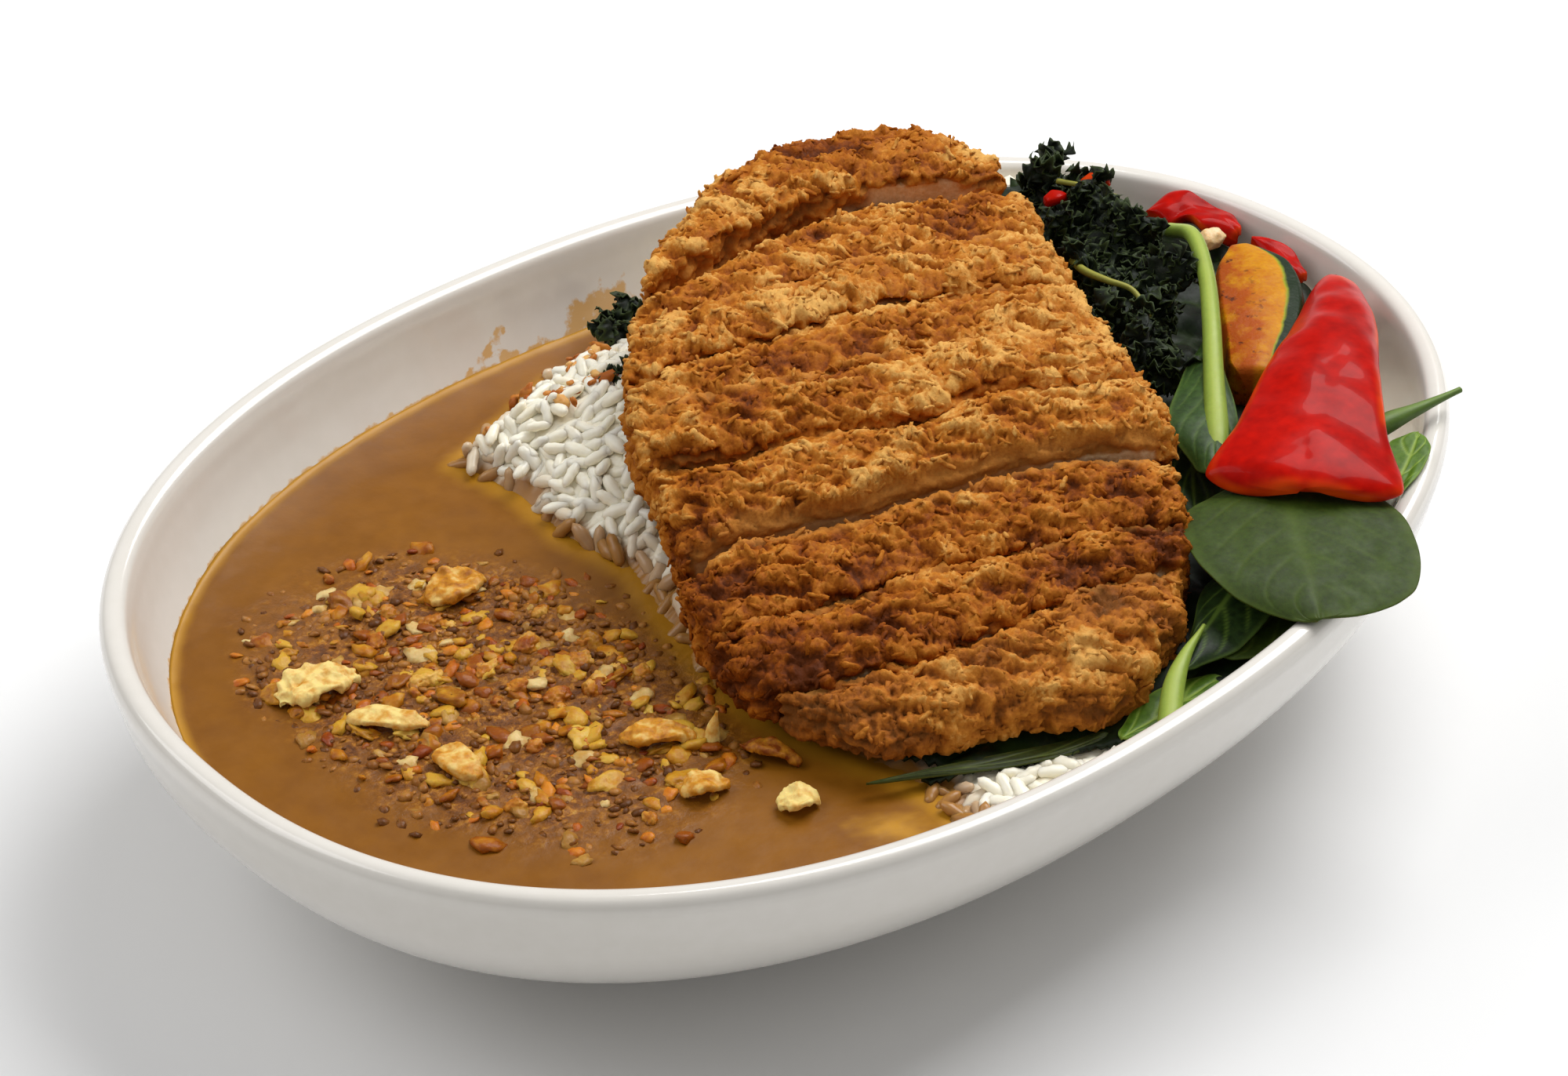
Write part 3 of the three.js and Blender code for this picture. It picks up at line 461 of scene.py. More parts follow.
def thick_sheet(name: str, top: Array, bottom: Array, quads: Array) -> tuple[Piece, Array]:
    """Closes two matching sheets of points into one solid, and leaves out the points that it doesn't use.

    Args:
        name: The piece's name.
        top: The (n, 3) points of the upper side.
        bottom: The (n, 3) points of the lower side.
        quads: The upper side's faces, wound to look outwards.

    Returns:
        The piece, and its points.
    """
    count = len(top)
    edges = np.concatenate([quads[:, [k, (k + 1) % 4]] for k in range(4)])
    keys = edges.min(1).astype(np.int64) * count + edges.max(1)
    _, place, uses = np.unique(keys, return_index=True, return_counts=True)
    border = edges[place[uses == 1]]
    walls = np.column_stack([border[:, 1], border[:, 0], border[:, 0] + count, border[:, 1] + count])
    faces = np.concatenate([quads, quads[:, ::-1] + count, walls])
    used, numbers = np.unique(faces, return_inverse=True)
    points = np.concatenate([top, bottom])[used]
    return new_piece(name, points, numbers.reshape(faces.shape)), points


def grid_quads(rows: int, columns: int, closed: bool = False) -> Array:
    """Numbers the quads of a grid of points.

    Args:
        rows: How many points there are down the grid.
        columns: How many points there are along each row.
        closed: Whether each row joins up with itself.

    Returns:
        An (n, 4) array.
    """
    row = np.arange(rows - 1)[:, None]
    column = np.arange(columns if closed else columns - 1)[None, :]
    after = (column + 1) % columns
    start, below = row * columns, (row + 1) * columns
    corners = [start + column, start + after, below + after, below + column]
    return np.stack([np.broadcast_to(part, (rows - 1, column.size)).ravel() for part in corners], axis=1)


def finish_piece(piece: Piece, material: Material, slot: Slot, *nodes: str) -> Piece:
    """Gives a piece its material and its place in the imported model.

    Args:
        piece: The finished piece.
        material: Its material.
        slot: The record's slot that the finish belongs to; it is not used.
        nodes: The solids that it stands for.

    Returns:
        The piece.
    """
    if not piece.data.materials:
        piece.data.materials.append(material)
    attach(piece, "root")
    if nodes:
        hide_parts(*nodes)
    LOG.info("%s: %d faces", piece.name, len(piece.data.polygons))
    return piece


def merged_copy(node: Piece, name: str) -> Piece:
    """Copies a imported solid, with its loose triangles joined up."""
    work = bmesh.new()
    work.from_mesh(node.data)
    bmesh.ops.remove_doubles(work, verts=work.verts, dist=1e-6)
    mesh = bpy.data.meshes.new(name)
    work.to_mesh(mesh)
    work.free()
    mesh.materials.clear()
    return put_in_scene(name, mesh)


def applied(piece: Piece) -> Piece:
    """Replaces a piece's mesh by what its modifiers make of it, and removes them."""
    depsgraph = bpy.context.evaluated_depsgraph_get()
    result = bpy.data.meshes.new_from_object(piece.evaluated_get(depsgraph))
    piece.modifiers.clear()
    old = piece.data
    piece.data = result
    bpy.data.meshes.remove(old)
    return piece


def remeshed(piece: Piece, voxel: float) -> Piece:
    """Rebuilds a piece with even faces of about a voxel's size, in millimetres."""
    modifier = piece.modifiers.new("remesh", "REMESH")
    modifier.mode = "VOXEL"
    modifier.voxel_size = voxel * MM
    modifier.use_smooth_shade = True
    return applied(piece)


def bed_copy(piece: Piece, name: str, cover: Array) -> Piece:
    """Copies a piece as a bed to strew things over.

    Args:
        piece: What the things lie on.
        name: The bed's name.
        cover: How thickly they lie at each of its points, from 0 to 1.

    Returns:
        The bed, which is deleted afterwards.
    """
    bed = put_in_scene(name, piece.data.copy())
    bed.data.materials.clear()
    store(bed, "cover", cover)
    return bed


def even_copy(node: Piece, name: str, voxel: float) -> tuple[Piece, Array, Array]:
    """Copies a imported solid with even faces, and reads the copy's points and normals."""
    piece = remeshed(merged_copy(node, name), voxel)
    return piece, mesh_points(piece.data), mesh_normals(piece.data)


def delete(*pieces: Piece) -> None:
    """Removes objects that only helped to make others."""
    for piece in pieces:
        bpy.data.objects.remove(piece)


class NodeMaker:
    """A node tree, and one way to add nodes to it."""

    def __init__(self, tree: bpy.types.NodeTree) -> None:
        """Keeps the tree."""
        self.tree = tree

    def add(self, kind: str, inputs: dict | None = None, **settings: object) -> bpy.types.Node:
        """Adds a node.

        Args:
            kind: The node's type.
            inputs: Values for its inputs, or sockets that they are linked to, by name or number.
            settings: Values for its own settings, which are made first.

        Returns:
            The node.
        """
        node = self.tree.nodes.new(kind)
        for label, value in settings.items():
            setattr(node, label, value)
        for label, value in (inputs or {}).items():
            if isinstance(value, Socket):
                self.tree.links.new(value, node.inputs[label])
            else:
                node.inputs[label].default_value = value
        return node

    def math(self, operation: str, *values: Socket | float) -> Socket:
        """Adds, multiplies or compares values."""
        return self.add("ShaderNodeMath", dict(enumerate(values)), operation=operation).outputs[0]

    def mix(self, share: Socket, first: Socket | Colour, second: Socket | Colour) -> Socket:
        """Mixes two colours by a share."""
        return self.add("ShaderNodeMix", {"Factor": share, 6: first, 7: second}, data_type="RGBA").outputs[2]

    def remap(self, value: Socket, low: float, high: float, to_low: float = 0.0,
              to_high: float = 1.0) -> Socket:
        """Stretches a value from one range to another, and keeps it inside."""
        limits = {"From Min": low, "From Max": high, "To Min": to_low, "To Max": to_high}
        return self.add("ShaderNodeMapRange", {**limits, "Value": value}).outputs[0]


class Shader(NodeMaker):
    """A material's node tree, with short ways to add what the finishes need."""

    def __init__(self, name: str, **values: float | Colour) -> None:
        """Starts a material with one Principled BSDF.

        Args:
            name: The material's name.
            values: What is the same all over, on the shader's own sockets.
        """
        self.material = bpy.data.materials.new(name)
        self.material.use_nodes = True
        super().__init__(self.material.node_tree)
        self.surface = self.tree.nodes["Principled BSDF"]
        self.place = self.add("ShaderNodeTexCoord").outputs["Object"]
        for label, value in values.items():
            self.surface.inputs[label.replace("_", " ")].default_value = value

    def noise(self, size: float, detail: float = 4.0, roughness: float = 0.55) -> Socket:
        """Adds noise with bumps of a size in millimetres, and gives its value."""
        scale = 1.0 / (size * MM)
        inputs = {"Scale": scale, "Detail": detail, "Roughness": roughness, "Vector": self.place}
        return self.add("ShaderNodeTexNoise", inputs).outputs["Fac"]

    def attribute(self, name: str) -> Socket:
        """Reads one of the piece's stored numbers."""
        return self.add("ShaderNodeAttribute", attribute_name=name).outputs["Fac"]

    def ramp(self, value: Socket, *stops: tuple[float, Colour]) -> Socket:
        """Turns a value into a colour.

        Args:
            value: The value.
            stops: The (place, colour) pairs, in order.

        Returns:
            The colour.
        """
        node = self.add("ShaderNodeValToRGB", {"Fac": value})
        elements = node.color_ramp.elements
        while len(elements) < len(stops):
            elements.new(0.5)
        for element, (place, colour) in zip(elements, stops):
            element.position = place
            element.color = colour
        return node.outputs["Color"]

    def group(self, tree: bpy.types.ShaderNodeTree, **values: float | Colour) -> Socket:
        """Places a shared effect, with its own values, on the piece's own coordinates."""
        inputs = {label.replace("_", " "): value for label, value in values.items()}
        return self.add("ShaderNodeGroup", {"Place": self.place, **inputs}, node_tree=tree).outputs[0]

    def drive(self, label: str, source: Socket) -> None:
        """Drives one of the shader's own inputs."""
        self.tree.links.new(source, self.surface.inputs[label])

    def roughen(self, size: float, least: float, most: float) -> None:
        """Varies the roughness between two values, in patches of a size in millimetres."""
        self.drive("Roughness", self.remap(self.noise(size), 0.3, 0.7, least, most))

    def bump(self, height: Socket, depth: float, strength: float = 1.0) -> None:
        """Adds relief on top of any there is.

        Args:
            height: The relief.
            depth: Its depth, in millimetres.
            strength: How strongly it shows, from 0 to 1.
        """
        inputs = {"Strength": strength, "Distance": depth * MM, "Height": height}
        normal = self.surface.inputs["Normal"]
        if normal.is_linked:
            inputs["Normal"] = normal.links[0].from_socket
        self.drive("Normal", self.add("ShaderNodeBump", inputs).outputs["Normal"])


class SharedEffects:
    """Shader node groups that more than one finish uses."""

    def __init__(self) -> None:
        """Builds each group once."""
        self.mottle = self._mottle()
        self.pores = self._pores()

    @staticmethod
    def _start(name: str, result: str, kind: str, inputs: dict[str, float | Colour]) -> NodeMaker:
        """Starts a group with a Place input, some named values and one result.

        Args:
            name: The group's name.
            result: The name of what it puts out.
            kind: The type of that socket.
            inputs: The named values, each at its usual size.

        Returns:
            The group, ready for its nodes.
        """
        tree = bpy.data.node_groups.new(name, "ShaderNodeTree")
        tree.interface.new_socket(name="Place", in_out="INPUT", socket_type="NodeSocketVector")
        for label, value in inputs.items():
            sort = "NodeSocketColor" if isinstance(value, tuple) else "NodeSocketFloat"
            tree.interface.new_socket(name=label, in_out="INPUT", socket_type=sort).default_value = value
        tree.interface.new_socket(name=result, in_out="OUTPUT", socket_type=kind)
        return NodeMaker(tree)

    def _mottle(self) -> bpy.types.ShaderNodeTree:
        """Two sizes of soft patches between a dark and a light colour."""
        tones = {"Dark": (0.2, 0.2, 0.2, 1.0), "Light": (0.8, 0.8, 0.8, 1.0)}
        sizes = {"Size": 200.0, "Fine Size": 1200.0}
        made = self._start("mottle", "Colour", "NodeSocketColor", {**sizes, **tones})
        given = made.add("NodeGroupInput").outputs
        layers = []
        for label in ("Size", "Fine Size"):
            inputs = {"Detail": 3.0, "Vector": given["Place"], "Scale": given[label]}
            layers.append(made.add("ShaderNodeTexNoise", inputs).outputs["Fac"])
        patches = made.remap(made.math("ADD", *layers), 0.7, 1.3)
        made.add("NodeGroupOutput", {"Colour": made.mix(patches, given["Dark"], given["Light"])})
        return made.tree

    def _pores(self) -> bpy.types.ShaderNodeTree:
        """Fried crumb texture: fine open pores, as a height."""
        made = self._start("fried_pores", "Height", "NodeSocketFloat", {"Size": 900.0})
        given = made.add("NodeGroupInput").outputs
        where = {"Vector": given["Place"], "Scale": given["Size"]}
        cells = made.add("ShaderNodeTexVoronoi", where).outputs["Distance"]
        grain = made.add("ShaderNodeTexNoise", {**where, "Detail": 6.0, "Roughness": 0.7}).outputs["Fac"]
        made.add("NodeGroupOutput", {"Height": made.math("MULTIPLY_ADD", cells, 0.6, grain)})
        return made.tree


@dataclass(frozen=True)
class GlazeFinish:
    """White glazed ceramic, with a thin film of sauce where it has run."""

    clean: Colour = srgb(229, 224, 216)
    shade: Colour = srgb(225, 220, 211)
    sauce: Colour = srgb(214, 156, 36)

    def build(self, effects: SharedEffects) -> Material:
        """Makes the material."""
        shader = Shader("glazed_ceramic", Roughness=0.16, IOR=1.5, Coat_Weight=0.35, Coat_Roughness=0.08)
        body = shader.group(effects.mottle, Size=25.0, Fine_Size=300.0, Dark=self.shade, Light=self.clean)
        ragged = shader.remap(shader.noise(3.0, 4.0), 0.3, 0.7, -0.3, 0.3)
        spread = shader.math("ADD", shader.attribute("film"), ragged)
        film = shader.remap(spread, 0.42, 0.62, 0.0, 0.75)
        shader.drive("Base Color", shader.mix(film, body, self.sauce))
        shader.bump(shader.noise(16.0, 1.0), 0.05, 0.25)
        return shader.material


@dataclass(frozen=True)
class CurryFinish:
    """Smooth brown curry with a soft gloss, yellower where it is thin, crumbed under the topping."""

    deep: Colour = srgb(124, 76, 15)
    body: Colour = srgb(140, 89, 20)
    thin: Colour = srgb(190, 136, 32)
    crumbs: tuple[tuple[float, Colour], ...] = (
        (0.34, srgb(80, 42, 18)), (0.45, srgb(112, 64, 24)), (0.54, srgb(140, 84, 26)),
        (0.63, srgb(186, 122, 36)), (0.74, srgb(214, 168, 80)),
    )

    def build(self, effects: SharedEffects) -> Material:
        """Makes the material."""
        gloss = {"Specular_IOR_Level": 0.35, "Coat_Weight": 0.08, "Coat_Roughness": 0.12}
        shader = Shader("curry_sauce", IOR=1.36, **gloss)
        body = shader.group(effects.mottle, Size=40.0, Fine_Size=180.0, Dark=self.deep, Light=self.body)
        thinned = shader.mix(shader.attribute("thin"), body, self.thin)
        grain = shader.noise(1.7, 5.0, 0.65)
        crumbed = shader.attribute("crumbed")
        shader.drive("Base Color", shader.mix(crumbed, thinned, shader.ramp(grain, *self.crumbs)))
        shader.roughen(6.0, 0.3, 0.42)
        shader.bump(shader.math("MULTIPLY", grain, crumbed), 1.4, 0.8)
        shader.bump(shader.noise(1.6, 5.0), 0.12, 0.35)
        return shader.material


@dataclass(frozen=True)
class RiceFinish:
    """Cooked white rice, tinted by the sauce near the curry."""

    bright: Colour = srgb(252, 246, 226)
    grey: Colour = srgb(240, 230, 204)
    stained: Colour = srgb(158, 104, 14)
    gloss: float = 0.34

    def build(self, effects: SharedEffects, name: str) -> Material:
        """Makes the material."""
        depth = {"Subsurface_Weight": 0.4, "Subsurface_Scale": 0.0022, "Subsurface_Radius": (1.0, 0.9, 0.75)}
        shader = Shader(name, Roughness=self.gloss, IOR=1.42, **depth)
        body = shader.group(effects.mottle, Size=120.0, Fine_Size=900.0, Dark=self.grey, Light=self.bright)
        toned = shader.mix(shader.attribute("tone"), body, self.bright)
        shader.drive("Base Color", shader.mix(shader.attribute("stain"), toned, self.stained))
        shader.bump(shader.noise(0.5, 3.0), 0.04, 0.3)
        return shader.material


@dataclass(frozen=True)
class CrustFinish:
    """Fried breadcrumb crust over pale cooked meat, its hollows painted dark as shade and its crests pale as
    a highlight.
    """

    # On the slices, pit and hollow paint shade in the crust's hollows, and pale paints a highlight on its
    # crests.
    pit: Colour = srgb(88, 38, 2)
    hollow: Colour = srgb(126, 60, 4)
    fried: Colour = srgb(162, 89, 16)
    golden: Colour = srgb(188, 116, 34)
    pale: Colour = srgb(222, 168, 88)
    paste: Colour = srgb(206, 142, 66)
    meat: Colour = srgb(240, 212, 172)
    fibre: Colour = srgb(212, 172, 124)

    def build(self, effects: SharedEffects, name: str) -> Material:
        """Makes the material."""
        shader = Shader(name, IOR=1.42, Specular_IOR_Level=0.14)
        patches = shader.remap(shader.noise(11.0, 5.0, 0.62), 0.3, 0.7, -0.3, 0.26)
        grain = shader.remap(shader.noise(0.8, 4.0), 0.3, 0.7, -0.12, 0.12)
        tone = shader.remap(shader.attribute("tone"), 0.0, 1.0, -0.12, 0.14)
        # The stored level paints shade in the hollows and on steep sides and a highlight on the crests, with
        # some toast; patches, grain and tone vary the crust at random.
        level = shader.math("ADD", shader.math("ADD", shader.attribute("crag"), patches), grain)
        level = shader.math("ADD", level, tone)
        browns = (self.pit, self.hollow, self.fried, self.golden, self.pale)
        crust = shader.ramp(level, *zip((0.02, 0.24, 0.46, 0.7, 0.97), browns))
        pasted = shader.mix(shader.attribute("paste"), crust, self.paste)
        meat = shader.group(effects.mottle, Size=160.0, Fine_Size=1100.0, Dark=self.fibre, Light=self.meat)
        shader.drive("Base Color", shader.mix(shader.attribute("meat"), pasted, meat))
        shader.roughen(2.0, 0.5, 0.72)
        shader.bump(shader.group(effects.pores, Size=1100.0), 0.35, 0.55)
        shader.bump(shader.noise(0.35, 3.0), 0.12, 0.6)
        return shader.material


@dataclass(frozen=True)
class LeafFinish:
    """A fresh leaf: darker flesh, paler veins and margin, a soft sheen."""

    name: str
    flesh: Colour
    light: Colour
    vein: Colour
    gloss: float = 0.38

    def build(self, effects: SharedEffects) -> Material:
        """Makes the material."""
        depth = {"Subsurface_Weight": 0.06, "Subsurface_Scale": 0.001}
        shader = Shader(self.name, IOR=1.45, Specular_IOR_Level=0.22, **depth)
        body = shader.group(effects.mottle, Size=140.0, Fine_Size=900.0, Dark=self.flesh, Light=self.light)
        shader.drive("Base Color", shader.mix(shader.attribute("vein"), body, self.vein))
        shader.roughen(3.0, self.gloss, self.gloss + 0.16)
        shader.bump(shader.noise(0.8, 4.0), 0.1, 0.4)
        return shader.material


@dataclass(frozen=True)
class KaleFinish:
    """Fried curly kale: nearly black green with a cool sheen, yellow-green at the frill."""

    dark: Colour = srgb(9, 15, 8)
    green: Colour = srgb(22, 34, 14)
    frill: Colour = srgb(62, 78, 26)

    def build(self, effects: SharedEffects) -> Material:
        """Makes the material."""
        sheen = {"Specular_IOR_Level": 0.25, "Sheen_Weight": 0.04, "Sheen_Roughness": 0.5}
        shader = Shader("fried_kale", IOR=1.45, Roughness=0.55, **sheen)
        body = shader.group(effects.mottle, Size=160.0, Fine_Size=800.0, Dark=self.dark, Light=self.green)
        shader.drive("Base Color", shader.mix(shader.attribute("vein"), body, self.frill))
        shader.bump(shader.noise(0.7, 4.0), 0.2, 0.6)
        return shader.material


@dataclass(frozen=True)
class PepperFinish:
    """Wet red pepper skin, orange at its cut margins."""

    deep: Colour = srgb(150, 6, 2)
    bright: Colour = srgb(190, 16, 3)
    margin: Colour = srgb(216, 70, 12)

    def build(self, effects: SharedEffects) -> Material:
        """Makes the material."""
        wet = {"Specular_IOR_Level": 0.05, "Coat_Weight": 0.07, "Coat_Roughness": 0.04}
        shader = Shader("red_pepper", IOR=1.45, Roughness=0.3, **wet)
        body = shader.group(effects.mottle, Size=60.0, Fine_Size=400.0, Dark=self.deep, Light=self.bright)
        patchy = shader.remap(shader.noise(12.0, 2.0), 0.4, 0.62)
        margin = shader.math("MULTIPLY", shader.attribute("margin"), patchy)
        shader.drive("Base Color", shader.mix(margin, body, self.margin))
        shader.bump(shader.noise(14.0, 1.5), 1.0, 0.3)
        shader.bump(shader.noise(1.2, 3.0), 0.05, 0.3)
        return shader.material


@dataclass(frozen=True)
class PumpkinFinish:
    """Fried pumpkin: yellow flesh, scorched orange-brown patches and a dark green rind."""

    flesh: Colour = srgb(188, 114, 3)
    pale: Colour = srgb(208, 146, 8)
    scorch: Colour = srgb(168, 76, 8)
    char: Colour = srgb(92, 40, 12)
    rind: Colour = srgb(22, 40, 14)
    under_rind: Colour = srgb(140, 150, 30)

    def build(self, effects: SharedEffects) -> Material:
        """Makes the material."""
        depth = {"Subsurface_Weight": 0.05, "Subsurface_Scale": 0.002}
        shader = Shader("fried_pumpkin", IOR=1.42, Specular_IOR_Level=0.15, **depth)
        body = shader.group(effects.mottle, Size=150.0, Fine_Size=1000.0, Dark=self.flesh, Light=self.pale)
        burnt = body
        for colour, size, detail, low, high in (
            (self.scorch, 4.5, 5.0, 0.3, 0.52), (self.char, 2.4, 3.0, 0.6, 0.68),
        ):
            patches = shader.remap(shader.noise(size, detail), low, high)
            burnt = shader.mix(shader.math("MULTIPLY", shader.attribute("scorch"), patches), burnt, colour)
        rind = shader.attribute("rind")
        skin = shader.ramp(rind, (0.3, self.under_rind), (0.7, self.rind))
        shader.drive("Base Color", shader.mix(shader.remap(rind, 0.05, 0.35), burnt, skin))
        shader.roughen(2.0, 0.34, 0.5)
        shader.bump(shader.noise(0.9, 5.0), 0.3, 0.5)
        return shader.material


@dataclass(frozen=True)
class FriedBitFinish:
    """Crisp fried garlic or onion: from dark to light, piece by piece and in fine patches."""

    name: str
    dark: Colour
    middle: Colour
    light: Colour
    gloss: float = 0.42

    def build(self, effects: SharedEffects) -> Material:
        """Makes the material."""
        depth = {"Subsurface_Weight": 0.15, "Subsurface_Scale": 0.001}
        shader = Shader(self.name, IOR=1.45, Roughness=self.gloss, Specular_IOR_Level=0.25, **depth)
        grain = shader.remap(shader.noise(2.4, 5.0), 0.3, 0.7, -0.3, 0.3)
        level = shader.math("ADD", shader.attribute("tone"), grain)
        tones = zip((0.1, 0.5, 0.9), (self.dark, self.middle, self.light))
        shader.drive("Base Color", shader.ramp(level, *tones))
        shader.bump(shader.group(effects.pores, Size=1500.0), 0.2, 0.5)
        return shader.material


@dataclass(frozen=True)
class FloorFinish:
    """A plain pale floor."""

    pale: Colour = srgb(238, 238, 238)

    def build(self) -> Material:
        """Makes the material."""
        return Shader("pale_floor", Base_Color=self.pale, Roughness=0.9).material


class ScatterTree(NodeMaker):
    """A Geometry Nodes tree that strews small pieces over a surface, and makes them real meshes."""

    SIZES = {
        "Spacing": 0.002, "Most Per Area": 1e5, "Smallest": 0.8, "Largest": 1.2, "Tilt": 0.3,
        "Sink": -0.0005, "Rise": 0.0005,
    }

    def __init__(self, name: str, kinds: list[Piece], material: Material) -> None:
        """Builds the tree.

        Args:
            name: The tree's name.
            kinds: The small pieces, one of which is picked for each place.
            material: What they are made of.
        """
        self.kinds = bpy.data.collections.new(f"{name}_kinds")
        for kind in kinds:
            bpy.context.scene.collection.objects.unlink(kind)
            self.kinds.objects.link(kind)
        super().__init__(bpy.data.node_groups.new(name, "GeometryNodeTree"))
        self.tree.is_modifier = True
        self._socket("Geometry", "Geometry")
        for label, value in self.SIZES.items():
            self._socket(label, "Float").default_value = value
        self._socket("Seed", "Int").default_value = 1
        self._socket("Geometry", "Geometry", "OUTPUT")
        self._make_nodes(len(kinds), material)

    def _socket(self, name: str, kind: str, way: str = "INPUT") -> bpy.types.NodeTreeInterfaceSocket:
        """Gives the tree one more named input or output."""
        return self.tree.interface.new_socket(name=name, in_out=way, socket_type=f"NodeSocket{kind}")

    def _random(self, low: float | Socket, high: float | Socket, seed: int) -> Socket:
        """Adds a random number between two others."""
        limits = {2: low, 3: high, "Seed": seed}
        return self.add("FunctionNodeRandomValue", limits, data_type="FLOAT").outputs[1]

    def _make_nodes(self, kind_count: int, material: Material) -> None:
        """Adds and joins the nodes.

        Args:
            kind_count: How many kinds there are to pick from.
            material: What they are made of.
        """
        sizes = self.add("NodeGroupInput").outputs
        cover = self.add("GeometryNodeInputNamedAttribute", {"Name": "cover"}, data_type="FLOAT").outputs[0]
        spread = self.add("GeometryNodeDistributePointsOnFaces", {
            "Mesh": sizes["Geometry"], "Distance Min": sizes["Spacing"], "Density Factor": cover,
            "Density Max": sizes["Most Per Area"], "Seed": sizes["Seed"],
        }, distribute_method="POISSON").outputs
        depth = self._random(sizes["Sink"], sizes["Rise"], 3)
        lift = self.add("ShaderNodeVectorMath", {0: spread["Normal"], "Scale": depth}, operation="SCALE")
        lifted = {"Geometry": spread["Points"], "Offset": lift.outputs[0]}
        back = self.math("MULTIPLY", sizes["Tilt"], -1.0)
        turn = self.add("ShaderNodeCombineXYZ", {
            "X": self._random(back, sizes["Tilt"], 5), "Y": self._random(back, sizes["Tilt"], 6),
            "Z": self._random(0.0, 2.0 * math.pi, 7),
        })
        spin = self.add("FunctionNodeEulerToRotation", {0: turn.outputs[0]}).outputs[0]
        rotations = {0: spread["Rotation"], 1: spin}
        turned = self.add("FunctionNodeRotateRotation", rotations, rotation_space="LOCAL")
        kinds = {"Collection": self.kinds, "Separate Children": True, "Reset Children": True}
        pick = self.add("FunctionNodeRandomValue", {4: 0, 5: kind_count - 1, "Seed": 8}, data_type="INT")
        place = self.add("GeometryNodeInstanceOnPoints", {
            "Points": self.add("GeometryNodeSetPosition", lifted).outputs[0],
            "Instance": self.add("GeometryNodeCollectionInfo", kinds).outputs[0],
            "Pick Instance": True, "Instance Index": pick.outputs[2], "Rotation": turned.outputs[0],
            "Scale": self._random(sizes["Smallest"], sizes["Largest"], 9),
        })
        tone = {"Name": "tone", "Geometry": place.outputs[0], "Value": self._random(0.0, 1.0, 10)}
        toned = self.add("GeometryNodeStoreNamedAttribute", tone, data_type="FLOAT", domain="INSTANCE")
        real = self.add("GeometryNodeRealizeInstances", {0: toned.outputs[0]})
        paint = self.add("GeometryNodeSetMaterial", {"Material": material, "Geometry": real.outputs[0]})
        self.add("NodeGroupOutput", {0: paint.outputs[0]})

    def strew(self, name: str, surface: Piece, seed: int, **sizes: float) -> Piece:
        """Strews the pieces over a surface with a "cover" attribute.

        Args:
            name: The new piece's name.
            surface: What they lie on.
            seed: Fixes the random draws.
            sizes: Values for the tree's named inputs, in metres, spaces written as underscores.

        Returns:
            The new piece, a plain mesh.
        """
        carrier = put_in_scene(name, surface.data.copy())
        modifier = carrier.modifiers.new("strew", "NODES")
        modifier.node_group = self.tree
        wanted = {label.replace("_", " "): value for label, value in sizes.items()}
        wanted["Seed"] = seed
        for socket in self.tree.interface.items_tree:
            if socket.in_out == "INPUT" and socket.name in wanted:
                modifier[socket.identifier] = wanted[socket.name]
        piece = applied(carrier)
        piece.data.polygons.foreach_set("use_smooth", np.full(len(piece.data.polygons), True))
        return piece

    def clear(self) -> None:
        """Removes the kinds, once everything is strewn."""
        delete(*list(self.kinds.objects))
        bpy.data.collections.remove(self.kinds)


def strewn(name: str, kinds: list[Piece], material: Material, surface: Piece, seed: int,
           **sizes: float) -> Piece:
    """Strews one sort of small piece over a surface.

    Args:
        name: The new piece's name.
        kinds: The small pieces to pick from.
        material: What they are made of.
        surface: What they lie on, with a "cover" attribute.
        seed: Fixes the random draws.
        sizes: As for ScatterTree.strew.

    Returns:
        The new piece, a plain mesh.
    """
    tree = ScatterTree(name, kinds, material)
    piece = tree.strew(name, surface, seed, **sizes)
    tree.clear()
    return piece


def close_tube(name: str, points: Array, rings: int, sides: int) -> Piece:
    """Makes a closed tube from rings of points and one point at each end."""
    quads = grid_quads(rings, sides, closed=True)[:, ::-1].tolist()
    first, last = len(points) - 2, len(points) - 1
    for side in range(sides):
        after = (side + 1) % sides
        quads.append([first, side, after])
        quads.append([last, (rings - 1) * sides + after, (rings - 1) * sides + side])
    return new_piece(name, points, quads)


